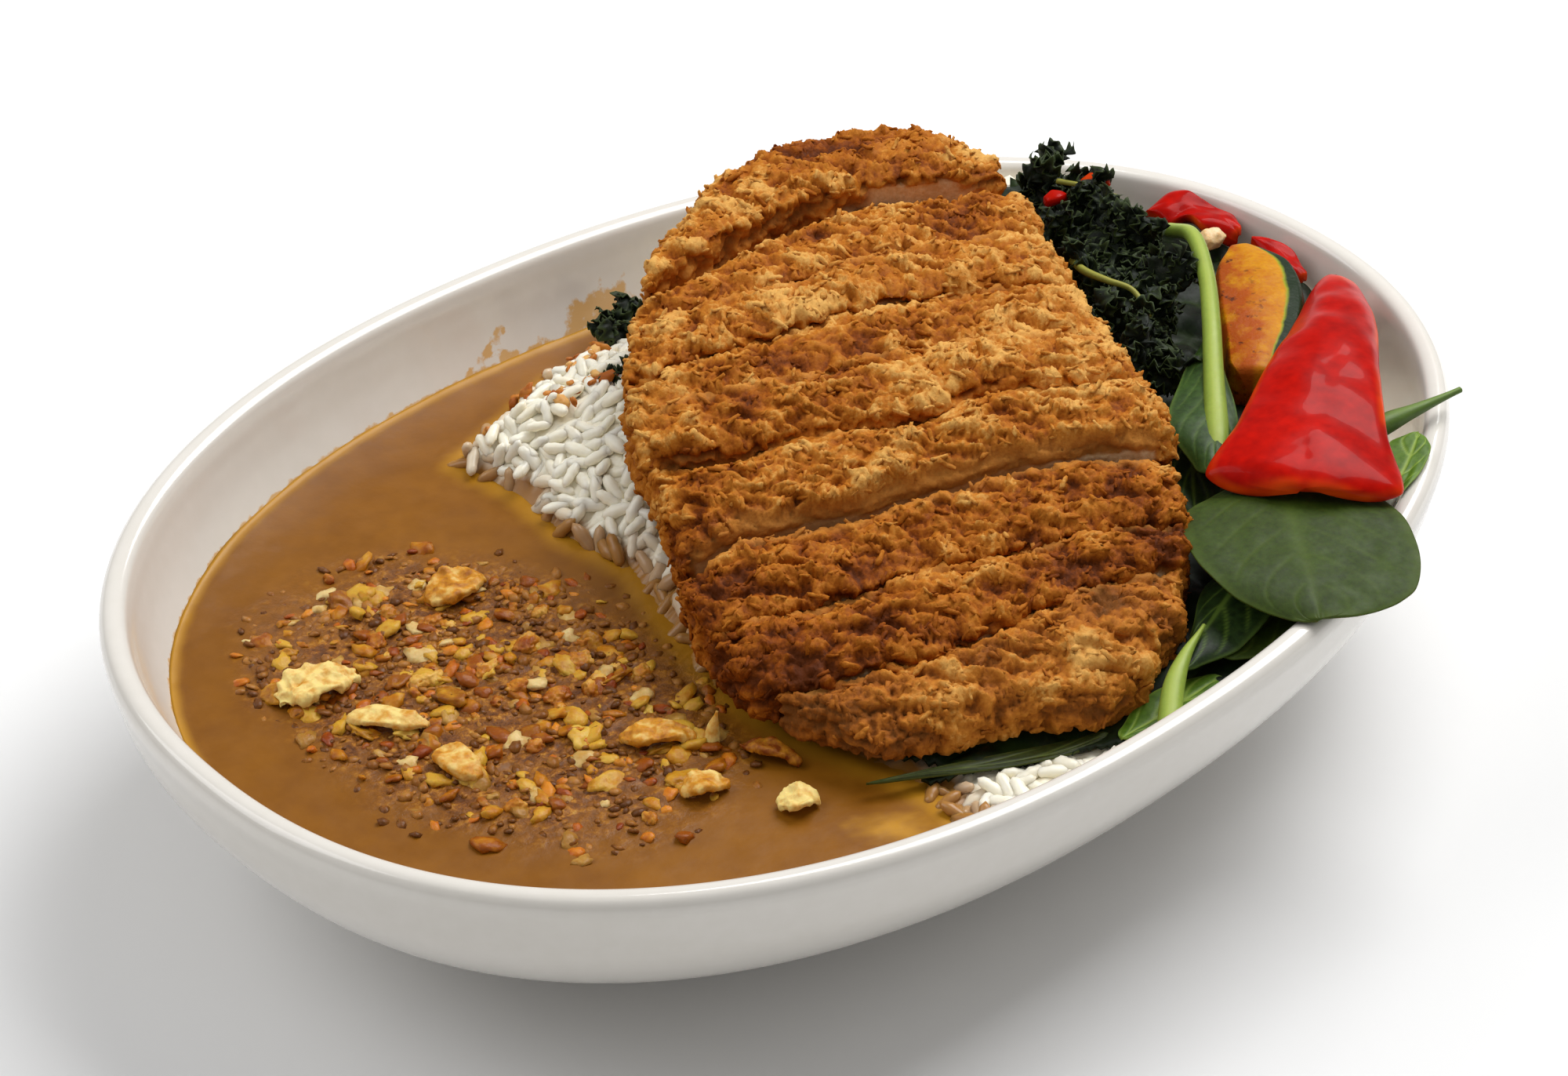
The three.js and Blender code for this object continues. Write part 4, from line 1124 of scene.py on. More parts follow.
@dataclass
class SmallShapes:
    """The small shapes that are strewn: grains, flakes and crumbs, modelled round the origin."""

    grain_length: float = 6.8
    grain_width: float = 2.5

    def grain(self, number: int) -> Piece:
        """Makes one cooked rice grain: plump, a little bent and uneven."""
        random = np.random.default_rng(100 + number)
        rings, sides = 9, 9
        share = np.linspace(-1, 1, rings)[1:-1]
        length = self.grain_length * random.uniform(0.86, 1.08)
        radius = self.grain_width / 2 * (1 - np.abs(share) ** 2.6) ** 0.5 * random.uniform(0.92, 1.08)
        radius *= 1 + 0.08 * random.normal(size=len(share))
        angle = np.linspace(0, 2 * np.pi, sides, endpoint=False)
        bend = random.uniform(-0.35, 0.35) * (share**2)
        x = np.repeat(share * length / 2, sides)
        y = (radius[:, None] * np.cos(angle) + bend[:, None]).ravel()
        z = (radius[:, None] * np.sin(angle) * 0.85).ravel()
        ends = np.array([[-length / 2, bend[0], 0], [length / 2, bend[-1], 0]])
        points = np.concatenate([np.stack([x, y, z], axis=1), ends])
        return close_tube(f"grain_{number}", points, len(share), sides)

    def flake(self, number: int) -> Piece:
        """Makes one breadcrumb flake: a short, bent, ragged lump."""
        random = np.random.default_rng(200 + number)
        rings, sides = 5, 6
        length = random.uniform(1.5, 3.0)
        share = np.linspace(-1, 1, rings)
        radius = 0.48 * np.sqrt(1 - (0.8 * share) ** 2) * random.uniform(0.65, 1.35, rings)
        angle = np.linspace(0, 2 * np.pi, sides, endpoint=False)
        ragged = random.uniform(0.7, 1.3, (rings, sides))
        x = np.repeat(share * length / 2, sides) + random.normal(size=rings * sides) * 0.12
        y = (radius[:, None] * np.cos(angle) * ragged).ravel()
        z = (radius[:, None] * np.sin(angle) * ragged * 0.8).ravel()
        bend = random.uniform(-0.2, 0.4)
        z += bend * (x / length * 2) ** 2
        ends = np.array([[-length / 2 - 0.1, 0, bend], [length / 2 + 0.1, 0, bend]])
        points = np.concatenate([np.stack([x, y, z], axis=1), ends])
        return close_tube(f"flake_{number}", points, rings, sides)

    @staticmethod
    def crumb(name: str, number: int, size: float, flatness: float, levels: int = 1) -> Piece:
        """Makes one fried crumb: an uneven lump.

        Args:
            name: The start of its name.
            number: Which one it is.
            size: Its half length.
            flatness: Its half height, as a share of that.
            levels: How finely its surface is divided.

        Returns:
            The crumb.
        """
        random = np.random.default_rng(300 + number)
        work = bmesh.new()
        bmesh.ops.create_icosphere(work, subdivisions=levels + 1, radius=1.0)
        mesh = bpy.data.meshes.new(f"{name}_{number}")
        work.to_mesh(mesh)
        work.free()
        piece = put_in_scene(mesh.name, mesh)
        points = mesh_points(mesh) * MM
        swell = 1 + 0.5 * NOISE.at(points + 10.0 * number, 0.9) + 0.25 * NOISE.at(points - 7.0 * number, 0.45)
        shape = np.array([size, size * random.uniform(0.55, 0.85), size * flatness])
        set_points(mesh, points * swell[:, None] * shape)
        return piece


@dataclass
class GlazedBowl:
    """The bowl: its wall's section as (inset from the outline, height) pairs, turned round the plan.

    Each of the film's spots is (across, along, height, reach).
    """

    outer_wall: Pairs = ((50, 0), (46, 1), (37, 8), (25, 15), (14.5, 22.5), (7.5, 30), (2.6, 38), (0.5, 46))
    lip: Pairs = ((0, 49.6), (0.9, 51.5), (2.6, RIM_HEIGHT), (4.4, 51.3), (5.4, 49.2))
    inner_wall: Pairs = ((6.5, 45.5), (8.4, 40.5), (11.4, 35), (16, 28), (28, 15.5), (56, 7))
    segments: int = 480
    steps: int = 8
    film_spots: Spots = (
        (-45, 76.5, 38.0, 3.0), (-41, 79.5, 38.4, 3.6), (-37.5, 81.5, 38.8, 3.2), (-40, 78, 36.2, 3.6),
        (-60.8, 66.1, 41, 1.1), (-61.6, 64.8, 39.6, 1.1), (-62.9, 62.5, 38.2, 1.1), (-64.6, 60.4, 37.2, 1),
        (-66.4, 58.2, 36.2, 1), (-60, 63.8, 36.6, 1.5), (-58, 65, 35.8, 1.5), (-52.5, 69.2, 35.4, 1.5),
    )

    def section(self) -> Array:
        """Rounds the section off between its named pairs."""
        corners = np.array(self.outer_wall + self.lip + self.inner_wall, float)
        before = np.vstack([corners[:1], corners, corners[-1:]])
        rounded = []
        for index in range(1, len(before) - 2):
            p0, p1, p2, p3 = before[index - 1:index + 3]
            for step in range(self.steps):
                t = step / self.steps
                bend, twist = 2 * p0 - 5 * p1 + 4 * p2 - p3, 3 * p1 - p0 - 3 * p2 + p3
                rounded.append(0.5 * (2 * p1 + (p2 - p0) * t + bend * t**2 + twist * t**3))
        rounded.append(corners[-1])
        return np.clip(np.array(rounded), (0.0, 0.0), (100.0, RIM_HEIGHT))

    def build(self, material: Material) -> Piece:
        """Makes the bowl.

        Args:
            material: The glaze.

        Returns:
            The finished piece.
        """
        section = self.section()
        angles = np.linspace(0, 2 * np.pi, self.segments, endpoint=False)
        insets, all_angles = np.meshgrid(section[:, 0], angles, indexing="ij")
        spots = PLAN.points(all_angles.ravel(), insets.ravel())
        heights = np.repeat(section[:, 1], self.segments)
        rings = len(section)
        centres = [[0, 0, 0], [0, 0, section[-1, 1]]]
        points = np.concatenate([np.column_stack([spots, heights]), centres])
        faces = grid_quads(rings, self.segments, closed=True).tolist()
        for side in range(self.segments):
            after = (side + 1) % self.segments
            last = (rings - 1) * self.segments
            faces.append([len(points) - 2, after, side])
            faces.append([len(points) - 1, last + side, last + after])
        piece = new_piece("glazed_bowl", points, faces)
        store(piece, "film", self._film(points))
        return finish_piece(piece, material, Slot.GLAZE, "bowl")

    def _film(self, points: Array) -> Array:
        """Works out where a thin film of sauce lies on the inner wall."""
        across, along = unserve(points)
        film = np.zeros(len(points))
        for spot_across, spot_along, spot_height, reach in self.film_spots:
            off = np.stack([across - spot_across, along - spot_along, points[:, 2] - spot_height])
            film = np.maximum(film, 1 - 0.5 * np.sqrt((off**2).sum(0)) / reach)
        film = np.maximum(film, 1 - (points[:, 2] - CURRY_LEVEL) / 1.8)
        ring = np.arange(len(points)) // self.segments
        inner = ring >= (len(self.outer_wall) + len(self.lip) - 1) * self.steps
        return np.where(inner, np.clip(film, 0, 1), 0.0)


@dataclass
class Filling:
    """Curry and rice: sheets over the bowl's plan, closed down into solids.

    The crumb patch is (across, along, half length, half width, turn in radians), and the gold spot is
    (across, along, reach).
    """

    angles: int = 520
    rings: int = 118
    crumb_patch: tuple[float, float, float, float, float] = (-56, -44, 55, 38, -0.72)
    greens_zone: Pairs = (
        (12, -73), (14, -62), (40, -56), (30, 0), (36, 94), (48, 122), (140, 122), (140, -50), (74, -61),
        (58, -62.5), (46, -65.5), (32, -69.5), (22, -71.8),
    )
    sauce_ripple: float = 0.12
    curry_inset: float = 10.9
    rice_inset: float = 7.4
    leaf_inset: float = 9.0
    leaf_thickness: float = 0.7
    floor_inset: float = 24.0
    floor_height: float = 20.0
    gold_spot: Triple = (15, -81.5, 4.5)

    def underside(self, outer_inset: float) -> Array:
        """Gives the flat underside of a sheet, drawn in so far that it stays clear of the wall."""
        plan = self.plan_grid(outer_inset, self.floor_inset)
        return np.column_stack([plan, np.full(len(plan), self.floor_height)])

    def quads(self) -> Array:
        """Numbers the plan's faces, wound to look up."""
        return grid_quads(self.rings, self.angles, closed=True)[:, ::-1]

    def plan_grid(self, outer_inset: float, least: float = 0.0) -> Array:
        """Lays a grid of places over the plan, closest together near the wall.

        Args:
            outer_inset: How far the outermost ring lies inside the bowl's outline.
            least: The least inset that any ring is given.

        Returns:
            The places, ring by ring.
        """
        share = np.linspace(0, 1, self.rings)
        total = PLAN.core_inset + PLAN.core_radius - outer_inset - 0.6
        insets = outer_inset + total * (0.72 * share + 0.28 * share**2)
        insets = least + (insets - outer_inset) * (1 - (least - outer_inset) / total) if least else insets
        angle = np.linspace(0, 2 * np.pi, self.angles, endpoint=False)
        all_insets, all_angles = np.meshgrid(insets, angle, indexing="ij")
        return PLAN.points(all_angles.ravel(), all_insets.ravel())

    def patch_share(self, across: Array, along: Array) -> Array:
        """Works out how thickly the fried topping lies: 1 in the middle of its patch, 0 outside."""
        middle_across, middle_along, half_length, half_width, turn = self.crumb_patch
        cosine, sine = math.cos(turn), math.sin(turn)
        x, y = across - middle_across, along - middle_along
        reach = np.hypot((x * cosine + y * sine) / half_length, (y * cosine - x * sine) / half_width)
        places = np.stack([across, along, np.zeros_like(across)], axis=-1)
        reach = reach + 0.16 * NOISE.layered(places, 16.0)
        return 1 - ease(reach, 0.62, 1.05)

    def curry(self, material: Material) -> Piece:
        """Makes the pool of curry."""
        plan = self.plan_grid(self.curry_inset)
        across, along = unserve(plan)
        shore = RICE.shore(across, along)
        inset = PLAN.inset_of(plan)
        flat = np.column_stack([plan, np.zeros(len(plan))])
        patch = self.patch_share(across, along)
        height = CURRY_LEVEL + 0.22 * NOISE.layered(flat, 22.0)
        height += 0.75 * np.exp(-(inset - self.curry_inset) / 1.1)
        height += self.sauce_ripple * NOISE.layered(flat, 7.0)
        height += 0.55 * np.exp(-np.abs(shore) / 2.2) + patch * (0.3 + 0.55 * NOISE.layered(flat, 3.0, 2))
        quads = self.quads()
        quads = quads[(shore[quads] < 5.0).any(1)]
        top = np.column_stack([plan, height])
        piece, points = thick_sheet("curry_sauce", top, self.underside(self.curry_inset), quads)
        x, y = unserve(points)
        shore, inset = RICE.shore(x, y), PLAN.inset_of(points)
        thin = np.maximum(1 - ease(inset, 11.2, 13.5), 0.75 * (1 - ease(-shore, 0.0, 5.0)))
        gold_across, gold_along, gold_reach = self.gold_spot
        away = np.hypot((x - gold_across) / 1.8, y - gold_along)
        thin = np.maximum(thin, 1.1 - away / gold_reach + 0.5 * NOISE.layered(points, 3.0))
        wobble = NOISE.layered(points, 4.0)
        store(piece, "thin", np.clip(thin + 0.2 * wobble * (thin > 0.02), 0, 1))
        store(piece, "crumbed", np.clip(self.patch_share(x, y) * (0.75 + 0.7 * wobble), 0, 0.9))
        return finish_piece(piece, material, Slot.CURRY, "curry")

    def rice_core(self, material: Material) -> Piece:
        """Makes the mound under the loose grains, with grain-sized relief."""
        plan = self.plan_grid(self.rice_inset)
        across, along = unserve(plan)
        shore = RICE.shore(across, along)
        height = self._mound_height(plan)
        flat = np.column_stack([plan, height])
        swell = ease(shore, -1.0, 4.0)
        height += swell * (0.9 * NOISE.layered(flat, 7.0, 2) + 0.55 * NOISE.ridged(flat, 2.6)) - 0.3
        height = np.where(PLAN.inset_of(plan) < 12.5, np.maximum(height, 33.5), height)
        quads = self.quads()
        quads = quads[(shore[quads] > -7.0).any(1)]
        top = np.column_stack([plan, height])
        piece, points = thick_sheet("rice_mound", top, self.underside(self.rice_inset), quads)
        self._paint_rice(piece, points)
        store(piece, "tone", np.zeros(len(points)))
        return finish_piece(piece, material, Slot.RICE, "rice")

    @staticmethod
    def _mound_height(plan: Array) -> Array:
        """Gives the mound's height, with the dip at the wall beside the red pepper."""
        across, along = unserve(plan)
        dip = ease(across, 98.0, 110.0) * ease(along, 8.0, 24.0)
        return RICE.height(across, along) - 8.0 * dip

    def leaf_bed(self, material: Material) -> Piece:
        """Makes the lowest layer of leaves, darkened as painted shade, which hides the rice under the greens.
        """
        plan = self.plan_grid(self.leaf_inset)
        across, along = unserve(plan)
        flat = np.column_stack([plan, np.zeros(len(plan))])
        folds = NOISE.billows(flat, 13.0)
        height = self._mound_height(plan) + 1.7 + 1.1 * folds + 0.5 * NOISE.layered(flat, 5.0, 2)
        wanted = is_inside(across, along, self.greens_zone) & (RICE.shore(across, along) > 1.0)
        wanted &= ~((across > 101.0) & (along > 6.0)) & ~is_inside(across, along, CUTLET.outline(-14.0))
        quads = self.quads()
        top = np.column_stack([plan, height])
        bottom = top - (0, 0, self.leaf_thickness)
        piece, points = thick_sheet("leaf_bed", top, bottom, quads[wanted[quads].all(1)])
        creases = np.clip(-NOISE.billows(points * (1, 1, 0), 13.0) - 0.4, 0, 1)
        store(piece, "vein", 0.6 * creases)
        return finish_piece(piece, material, Slot.SPINACH)

    def _paint_rice(self, piece: Piece, points: Array) -> None:
        """Stores where grains lie, and how far the sauce has tinted them."""
        across, along = unserve(points)
        shore = RICE.shore(across, along)
        inset = PLAN.inset_of(points)
        wobble = NOISE.layered(points, 6.0)
        under_cutlet = CUTLET.outline(-4.0)
        shows = (shore > 1.0) & ~is_inside(across, along, under_cutlet) & (inset > 9.5)
        shows &= ~is_inside(across, along, self.greens_zone)
        upwards = mesh_normals(piece.data)[:, 2] > 0.2
        store(piece, "cover", (shows & upwards).astype(float))
        coated = 4.0 + 5.0 * (1 - ease(along, -18.0, 6.0))
        stain = 1 - ease(shore + 5.0 * wobble, 0.2 * coated, coated)
        store(piece, "stain", np.clip(1.15 * stain, 0, 0.95))


@dataclass
class Cutlet:
    """The nine slices of breaded cutlet, with the crumb of their crust.

    Each bare span is (slice from 0, from, to), measured across the cutlet: where that slice shows its
    meat. Each spot of toast and painted shade is (across, along, reach, change of shade).
    """

    voxel: float = 0.54
    slices: int = 9
    lifts: tuple[float, ...] = (3.2, 0, 0.5, -0.3, 0.2, 0.6, -0.9, -0.4, -0.6)
    far_drops: tuple[float, ...] = (1.5, 5.2, 1.0, 1.7, 0.9, 3.9, 1.4, 2.0, 2.1)
    open_cuts: tuple[int, ...] = (1, 5)
    sloped_cut: int = 5
    bare_spans: Line = ((0, 4, 34), (4, 34, 200), (5, 40, 200))
    toast_and_shade_spots: Spots = (
        (-22, -12, 24, -0.02), (-6, -50, 24, -0.4), (56, -28, 20, -0.4), (50, 14, 28, 0.18),
        (20, -46, 18, -0.08), (32, -62, 14, 0.04), (-12, 66, 24, 0.1), (25, 62, 20, 0.04),
        (4, 90, 22, -0.32),
    )
    made: list[Piece] = field(default_factory=list)

    def build(self, nodes: dict[str, Piece], material: Material) -> None:
        """Makes the slices.

        Args:
            nodes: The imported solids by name.
            material: The crust and meat.
        """
        for index in range(self.slices):
            name = f"katsu_slice_{index + 1}"
            piece, points, normals = even_copy(nodes[name], f"crusted_slice_{index + 1}", self.voxel)
            self._roughen(piece, points, normals, index)
            self.made.append(finish_piece(piece, material, Slot.CRUST, name))

    def _roughen(self, piece: Piece, points: Array, normals: Array, index: int) -> None:
        """Raises the crust's crags, and stores where crust and meat show and where shade and highlight are
        painted on the crust.
        """
        across, along = unserve(points)
        lift = self.lifts[index]
        depth = CUTLET.depth_inside(across, along, points[:, 2] - lift)
        far, near = self._cut_reaches(points, normals, depth)
        underside = CUTLET.underside.at(along) + lift
        share = np.clip((points[:, 2] - underside) / CUTLET.thickness.at(along), 0, 1)
        uneven = 1 + 0.8 * NOISE.at(points, 17.0)
        drop = self.far_drops[index] * uneven * (1 - ease(far, 0.0, 6.5))
        drop += 0.9 * (1 - ease(near, 0.0, 2.8))
        sloped = index == self.sloped_cut
        slope = sloped * (1 - ease(near + 1.3 * NOISE.at(points, 7.0), 0.2, 2.6))
        drop += 1.5 * slope
        points[:, 2] -= drop * share**1.5
        bare = ease(depth + 0.7 * NOISE.layered(points, 3.0, 2), 2.0, 2.8)
        meat = bare
        for _, start, end in (span for span in self.bare_spans if span[0] == index):
            reach = across + 8.0 * NOISE.at(points, 9.0)
            shown = ease(reach, start, start + 8) * (1 - ease(reach, end - 8, end))
            meat = bare * (0.3 + 0.7 * shown if sloped else shown)
        crust = 1 - (bare if sloped else meat)
        laid = np.stack([0.5 * across, along + 0.12 * across, points[:, 2]], axis=1)
        bent = NOISE.bent(laid, 3.5, 1.6)
        swells = NOISE.layered(laid + 40.0, 10.0, 2)
        lumps = NOISE.billows(bent, 5.2)
        crests = NOISE.ridged(bent + 50.0, 3.4)
        clumps = NOISE.billows(NOISE.bent(points, 1.8, 0.9) + 20.0, 2.4)
        fine = NOISE.ridged(bent - 20.0, 1.2)
        height = 0.8 * swells + 0.55 * lumps + 0.32 * crests + 0.32 * clumps + 0.22 * fine
        shut = index not in self.open_cuts
        height *= (0.5 + 0.5 * ease(far, 0.5 - shut, 4.0 - 1.5 * shut)) * (1 - 0.6 * slope)
        fibre = 0.25 * NOISE.layered(points * (1, 1, 0.5), 1.6, 2)
        raised = points + normals * (crust * (height * 1.35 + 0.1) + meat * fibre)[:, None]
        overhang = 1.1 + 1.2 * NOISE.at(points, 4.5) + 1.6 * NOISE.at(points + 5.0, 12.0)
        overhang *= 0.15 if index + 1 in self.open_cuts else 0.8
        overhang = np.clip(overhang, 0.0, 2.8) * (1 - ease(near, 0.0, 3.0)) * share**2 * crust * (1 - slope)
        set_points(piece.data, self._wandering(raised, overhang))
        upright = ease(normals[:, 2], -0.2, 0.8)
        # Painted shade and highlight: the crust is darker in its hollows and on its steep and lower sides,
        # and paler on its crests.
        crag = 0.5 + 0.42 * np.tanh(1.1 * height + 0.25 * swells) - 0.14 * (1 - upright)
        # Each spot darkens or lightens the crust: partly toast, partly painted shade where the crust lies in
        # shadow.
        for spot_across, spot_along, reach, change in self.toast_and_shade_spots:
            away = (across - spot_across) ** 2 + (along - spot_along) ** 2
            crag += change * np.exp(-away / reach**2)
        store(piece, "crag", np.clip(crag, 0, 1))
        store(piece, "meat", meat)
        store(piece, "tone", np.full(len(points), 0.5))
        paste = (1 - ease(far + 1.6 * NOISE.at(points, 4.0), 0.3, 2.2)) * 0.5
        paste = np.maximum(np.maximum(paste, 0.16 * (index == self.slices - 1)), 0.55 * slope)
        inner = 0.8 * ease(depth, 1.0, 2.0) * np.maximum(1 - crust, 0.4)
        store(piece, "paste", np.maximum(paste, inner))
        upwards = normals[:, 2] > -0.25
        flaked = np.clip(0.45 + 0.6 * height, 0.1, 1)
        if not shut:
            flaked *= 0.3 + 0.7 * ease(far, 0.5, 3.0)
        store(piece, "cover", crust * (depth < 1.4) * upwards * flaked * (1 - slope))

    @staticmethod
    def _wandering(points: Array, overhang: Array) -> Array:
        """Bends all the cuts alike out of straight, and hangs each slice's near edge over the next."""
        across, along = unserve(points)
        flat = np.stack([across, 0.6 * along, np.zeros_like(across)], axis=1)
        bend = 1.5 * NOISE.at(flat, 15.0) + 0.8 * NOISE.at(flat + 9.0, 6.0)
        return serve(across, along + bend - overhang, points[:, 2])

    @staticmethod
    def _cut_reaches(points: Array, normals: Array, depth: Array) -> tuple[Array, Array]:
        """Measures how far each point lies from the slice's far and near cut faces, seen from above."""
        flat = points * (1, 1, 0)
        facing = unserve(normals)[1]
        reaches = []
        for side in (1, -1):
            face = np.flatnonzero((depth > 3.2) & (side * facing > 0.5))
            tree = KDTree(max(len(face), 1))
            for place in flat[face]:
                tree.insert(place, 0)
            if not len(face):
                tree.insert((1000.0, 1000.0, 0.0), 0)
            tree.balance()
            reaches.append(np.array([tree.find(place)[2] for place in flat]))
        return reaches[0], reaches[1]

    def crumb_surface(self) -> Piece:
        """Joins copies of the slices into one surface for the flakes to lie on."""
        work = bmesh.new()
        for piece in self.made:
            work.from_mesh(piece.data)
        mesh = bpy.data.meshes.new("crumb_surface")
        work.to_mesh(mesh)
        work.free()
        mesh.materials.clear()
        return put_in_scene("crumb_surface", mesh)


def spine_points(spine: Line, shares: Array) -> Array:
    """Reads a smooth curve through (across, along, height) points, in the bowl's frame.

    Args:
        spine: The points.
        shares: Places from 0 to 1.

    Returns:
        An (n, 3) array.
    """
    marks = np.array(spine, float)
    marks = serve(marks[:, 0], marks[:, 1], marks[:, 2])
    ends = np.vstack([2 * marks[0] - marks[1], marks, 2 * marks[-1] - marks[-2]])
    result = np.empty((len(shares), 3))
    for row, share in enumerate(shares):
        scaled = min(max(share, 0.0), 1.0) * (len(marks) - 1)
        index = min(int(scaled), len(marks) - 2)
        weight = scaled - index
        p0, p1, p2, p3 = ends[index:index + 4]
        gaps = [max(np.linalg.norm(b - a) ** 0.5, 1e-4) for a, b in ((p0, p1), (p1, p2), (p2, p3))]
        start = ((p1 - p0) / gaps[0] - (p2 - p0) / (gaps[0] + gaps[1]) + (p2 - p1) / gaps[1]) * gaps[1]
        end = ((p2 - p1) / gaps[1] - (p3 - p1) / (gaps[1] + gaps[2]) + (p3 - p2) / gaps[2]) * gaps[1]
        square, cube = weight**2, weight**3
        result[row] = (
            (2 * cube - 3 * square + 1) * p1 + (cube - 2 * square + weight) * start
            + (3 * square - 2 * cube) * p2 + (cube - square) * end
        )
    return result


@dataclass(frozen=True)
class Blade:
    """A leaf or a strip along a spine, with a width to each side of it."""

    name: str
    spine: Line
    left: Pairs
    right: Pairs | None = None
    cup: float = 0.0
    ripple: float = 0.0
    thickness: float = 0.8
    edge_share: float = 0.35
    over_lip: bool = False
    rows: int = 60
    columns: int = 40
    veins: int = 5
    vein_relief: float = 0.35
    vein_share: float = 1.0
    crinkle: float = 0.25
    crinkle_size: float = 7.0
    rounded: bool = False
    end_share: float = 0.07

    def sheet(self) -> tuple[Array, Array, Array]:
        """Works out the blade's middle sheet.

        Returns:
            Its points, and each point's place along and across it.
        """
        along_share = np.linspace(0, 1, self.rows)
        line = spine_points(self.spine, along_share)
        step = 1e-3
        forward = spine_points(self.spine, along_share + step)
        forward -= spine_points(self.spine, along_share - step)
        sideways = np.stack([forward[:, 1], -forward[:, 0]], axis=1)
        sideways /= np.linalg.norm(sideways, axis=1)[:, None]
        even = np.linspace(-1, 1, self.columns)
        side = 0.5 * even + 0.5 * np.sin(even * np.pi / 2)
        ends = np.clip(np.minimum(along_share, 1 - along_share) / self.end_share, 0, 1)
        rounding = 0.08 + 0.92 * np.sqrt(1 - (1 - ends) ** 2)
        left, right = (Curve(edge).at(along_share)[:, None] for edge in (self.left, self.right or self.left))
        widths = np.where(side[None, :] < 0, left, right) * rounding[:, None]
        points = np.empty((self.rows, self.columns, 3))
        points[..., :2] = line[:, None, :2] + sideways[:, None, :] * (side[None, :] * widths)[..., None]
        row_grid, side_grid = np.meshgrid(along_share, side, indexing="ij")
        wave = np.sin(row_grid * 9 + side_grid * 2.2) * self.ripple * (0.35 + np.abs(side_grid))
        points[..., 2] = line[:, None, 2] + self.cup * (side_grid * rounding[:, None]) ** 2 + wave
        return points.reshape(-1, 3), row_grid.ravel(), side_grid.ravel()

    def vein_mask(self, row: Array, side: Array) -> Array:
        """Draws a midrib and pairs of side veins that curve towards the tip."""
        midrib = np.exp(-((side / (0.05 + 0.03 * (1 - row))) ** 2))
        branch = (row - 0.42 * np.abs(side) ** 1.25 - 0.04) * (self.veins + 0.5)
        gap = np.abs(branch - np.round(branch))
        fade = ease(np.abs(side), 0.02, 0.1) * (1 - ease(np.abs(side), 0.62, 0.95))
        return np.clip(np.maximum(midrib, 0.75 * np.exp(-((gap / 0.07) ** 2)) * fade), 0, 1)

    def build(self) -> Piece:
        """Makes the blade as a closed piece, with its vein and margin attributes."""
        middle, row, side = self.sheet()
        veins = self.vein_mask(row, side) if self.veins else np.zeros(len(row))
        crinkles = self.crinkle * NOISE.layered(middle, self.crinkle_size, 2)
        middle[:, 2] += crinkles - 0.5 * self.vein_relief * veins
        if self.over_lip:
            middle[:, 2] = np.maximum(middle[:, 2], self._lip_height(middle))
        edge = np.maximum(np.abs(side) ** 4, np.abs(2 * row - 1) ** 6)
        half = 0.5 * self.thickness * (1 + (self.edge_share - 1) * edge)
        if self.rounded:
            run = ease(np.abs(side), 0.0, 1.0)
            near_side = np.clip((np.abs(side) - 0.84) / 0.16, 0, 1)
            near_end = np.clip((np.abs(2 * row - 1) - 0.94) / 0.06, 0, 1)
            half = half * (0.02 + 0.98 * np.sqrt(np.clip(1 - np.maximum(near_side, near_end) ** 2.2, 0, 1)))
            half = half * (1 - 0.1 * run)
        lift = half[:, None] * (0, 0, 1)
        quads = grid_quads(self.rows, self.columns)
        piece, _ = thick_sheet(self.name, middle + lift, middle - lift, quads)
        margin = ease(np.maximum(np.abs(side), np.abs(2 * row - 1)), 0.86, 1.0)
        store(piece, "vein", np.tile(np.maximum(self.vein_share * veins, 0.35 * margin), 2))
        store(piece, "margin", np.tile(margin, 2))
        return piece

    @staticmethod
    def _lip_height(points: Array) -> Array:
        """Gives the lowest that a leaf may lie where it passes over the bowl's lip."""
        inset = PLAN.inset_of(points)
        return RIM_HEIGHT + 0.8 + np.minimum(inset, 0.0) * 0.75 - 14.0 * ease(inset, 3.5, 13.0)


def strip(name: str, spine: Line, widths: Pairs, **sizes: float) -> Blade:
    """Describes a smooth rounded strip, without veins."""
    return Blade(name, spine, widths, edge_share=0.6, veins=0, rounded=True, **sizes)


def make_stem(name: str, spine: Line, widths: Pairs, rings: int = 40) -> Piece:
    """Makes a round stem along a curve, with a flat ridge and closed ends.

    Args:
        name: The piece's name.
        spine: Its (across, along, height) points.
        widths: Its radius along it, as (share, radius) pairs.
        rings: How many rings it has.

    Returns:
        The stem.
    """
    sides = 14
    shares = np.linspace(0, 1, rings)
    line = spine_points(spine, shares)
    forward = np.gradient(line, axis=0)
    forward /= np.linalg.norm(forward, axis=1)[:, None]
    sideways = np.cross(forward, (0, 0, 1.0))
    sideways /= np.linalg.norm(sideways, axis=1)[:, None]
    upward = np.cross(sideways, forward)
    angle = np.linspace(0, 2 * np.pi, sides, endpoint=False)
    size = Curve(widths).at(shares)
    ring = 1 - 0.14 * np.exp(-((angle - np.pi / 2) / 0.35) ** 2)
    cosine, sine = np.cos(angle)[None, :, None], np.sin(angle)[None, :, None]
    out = cosine * sideways[:, None, :] + sine * upward[:, None, :]
    points = line[:, None, :] + size[:, None, None] * ring[None, :, None] * out
    ends = np.array([line[0], line[-1]])
    piece = close_tube(name, np.concatenate([points.reshape(-1, 3), ends]), rings, sides)
    ridge = np.tile(np.exp(-((angle - np.pi / 2) / 0.5) ** 2), rings)
    store(piece, "vein", np.concatenate([0.35 + 0.5 * ridge, [1.0, 1.0]]))
    return piece


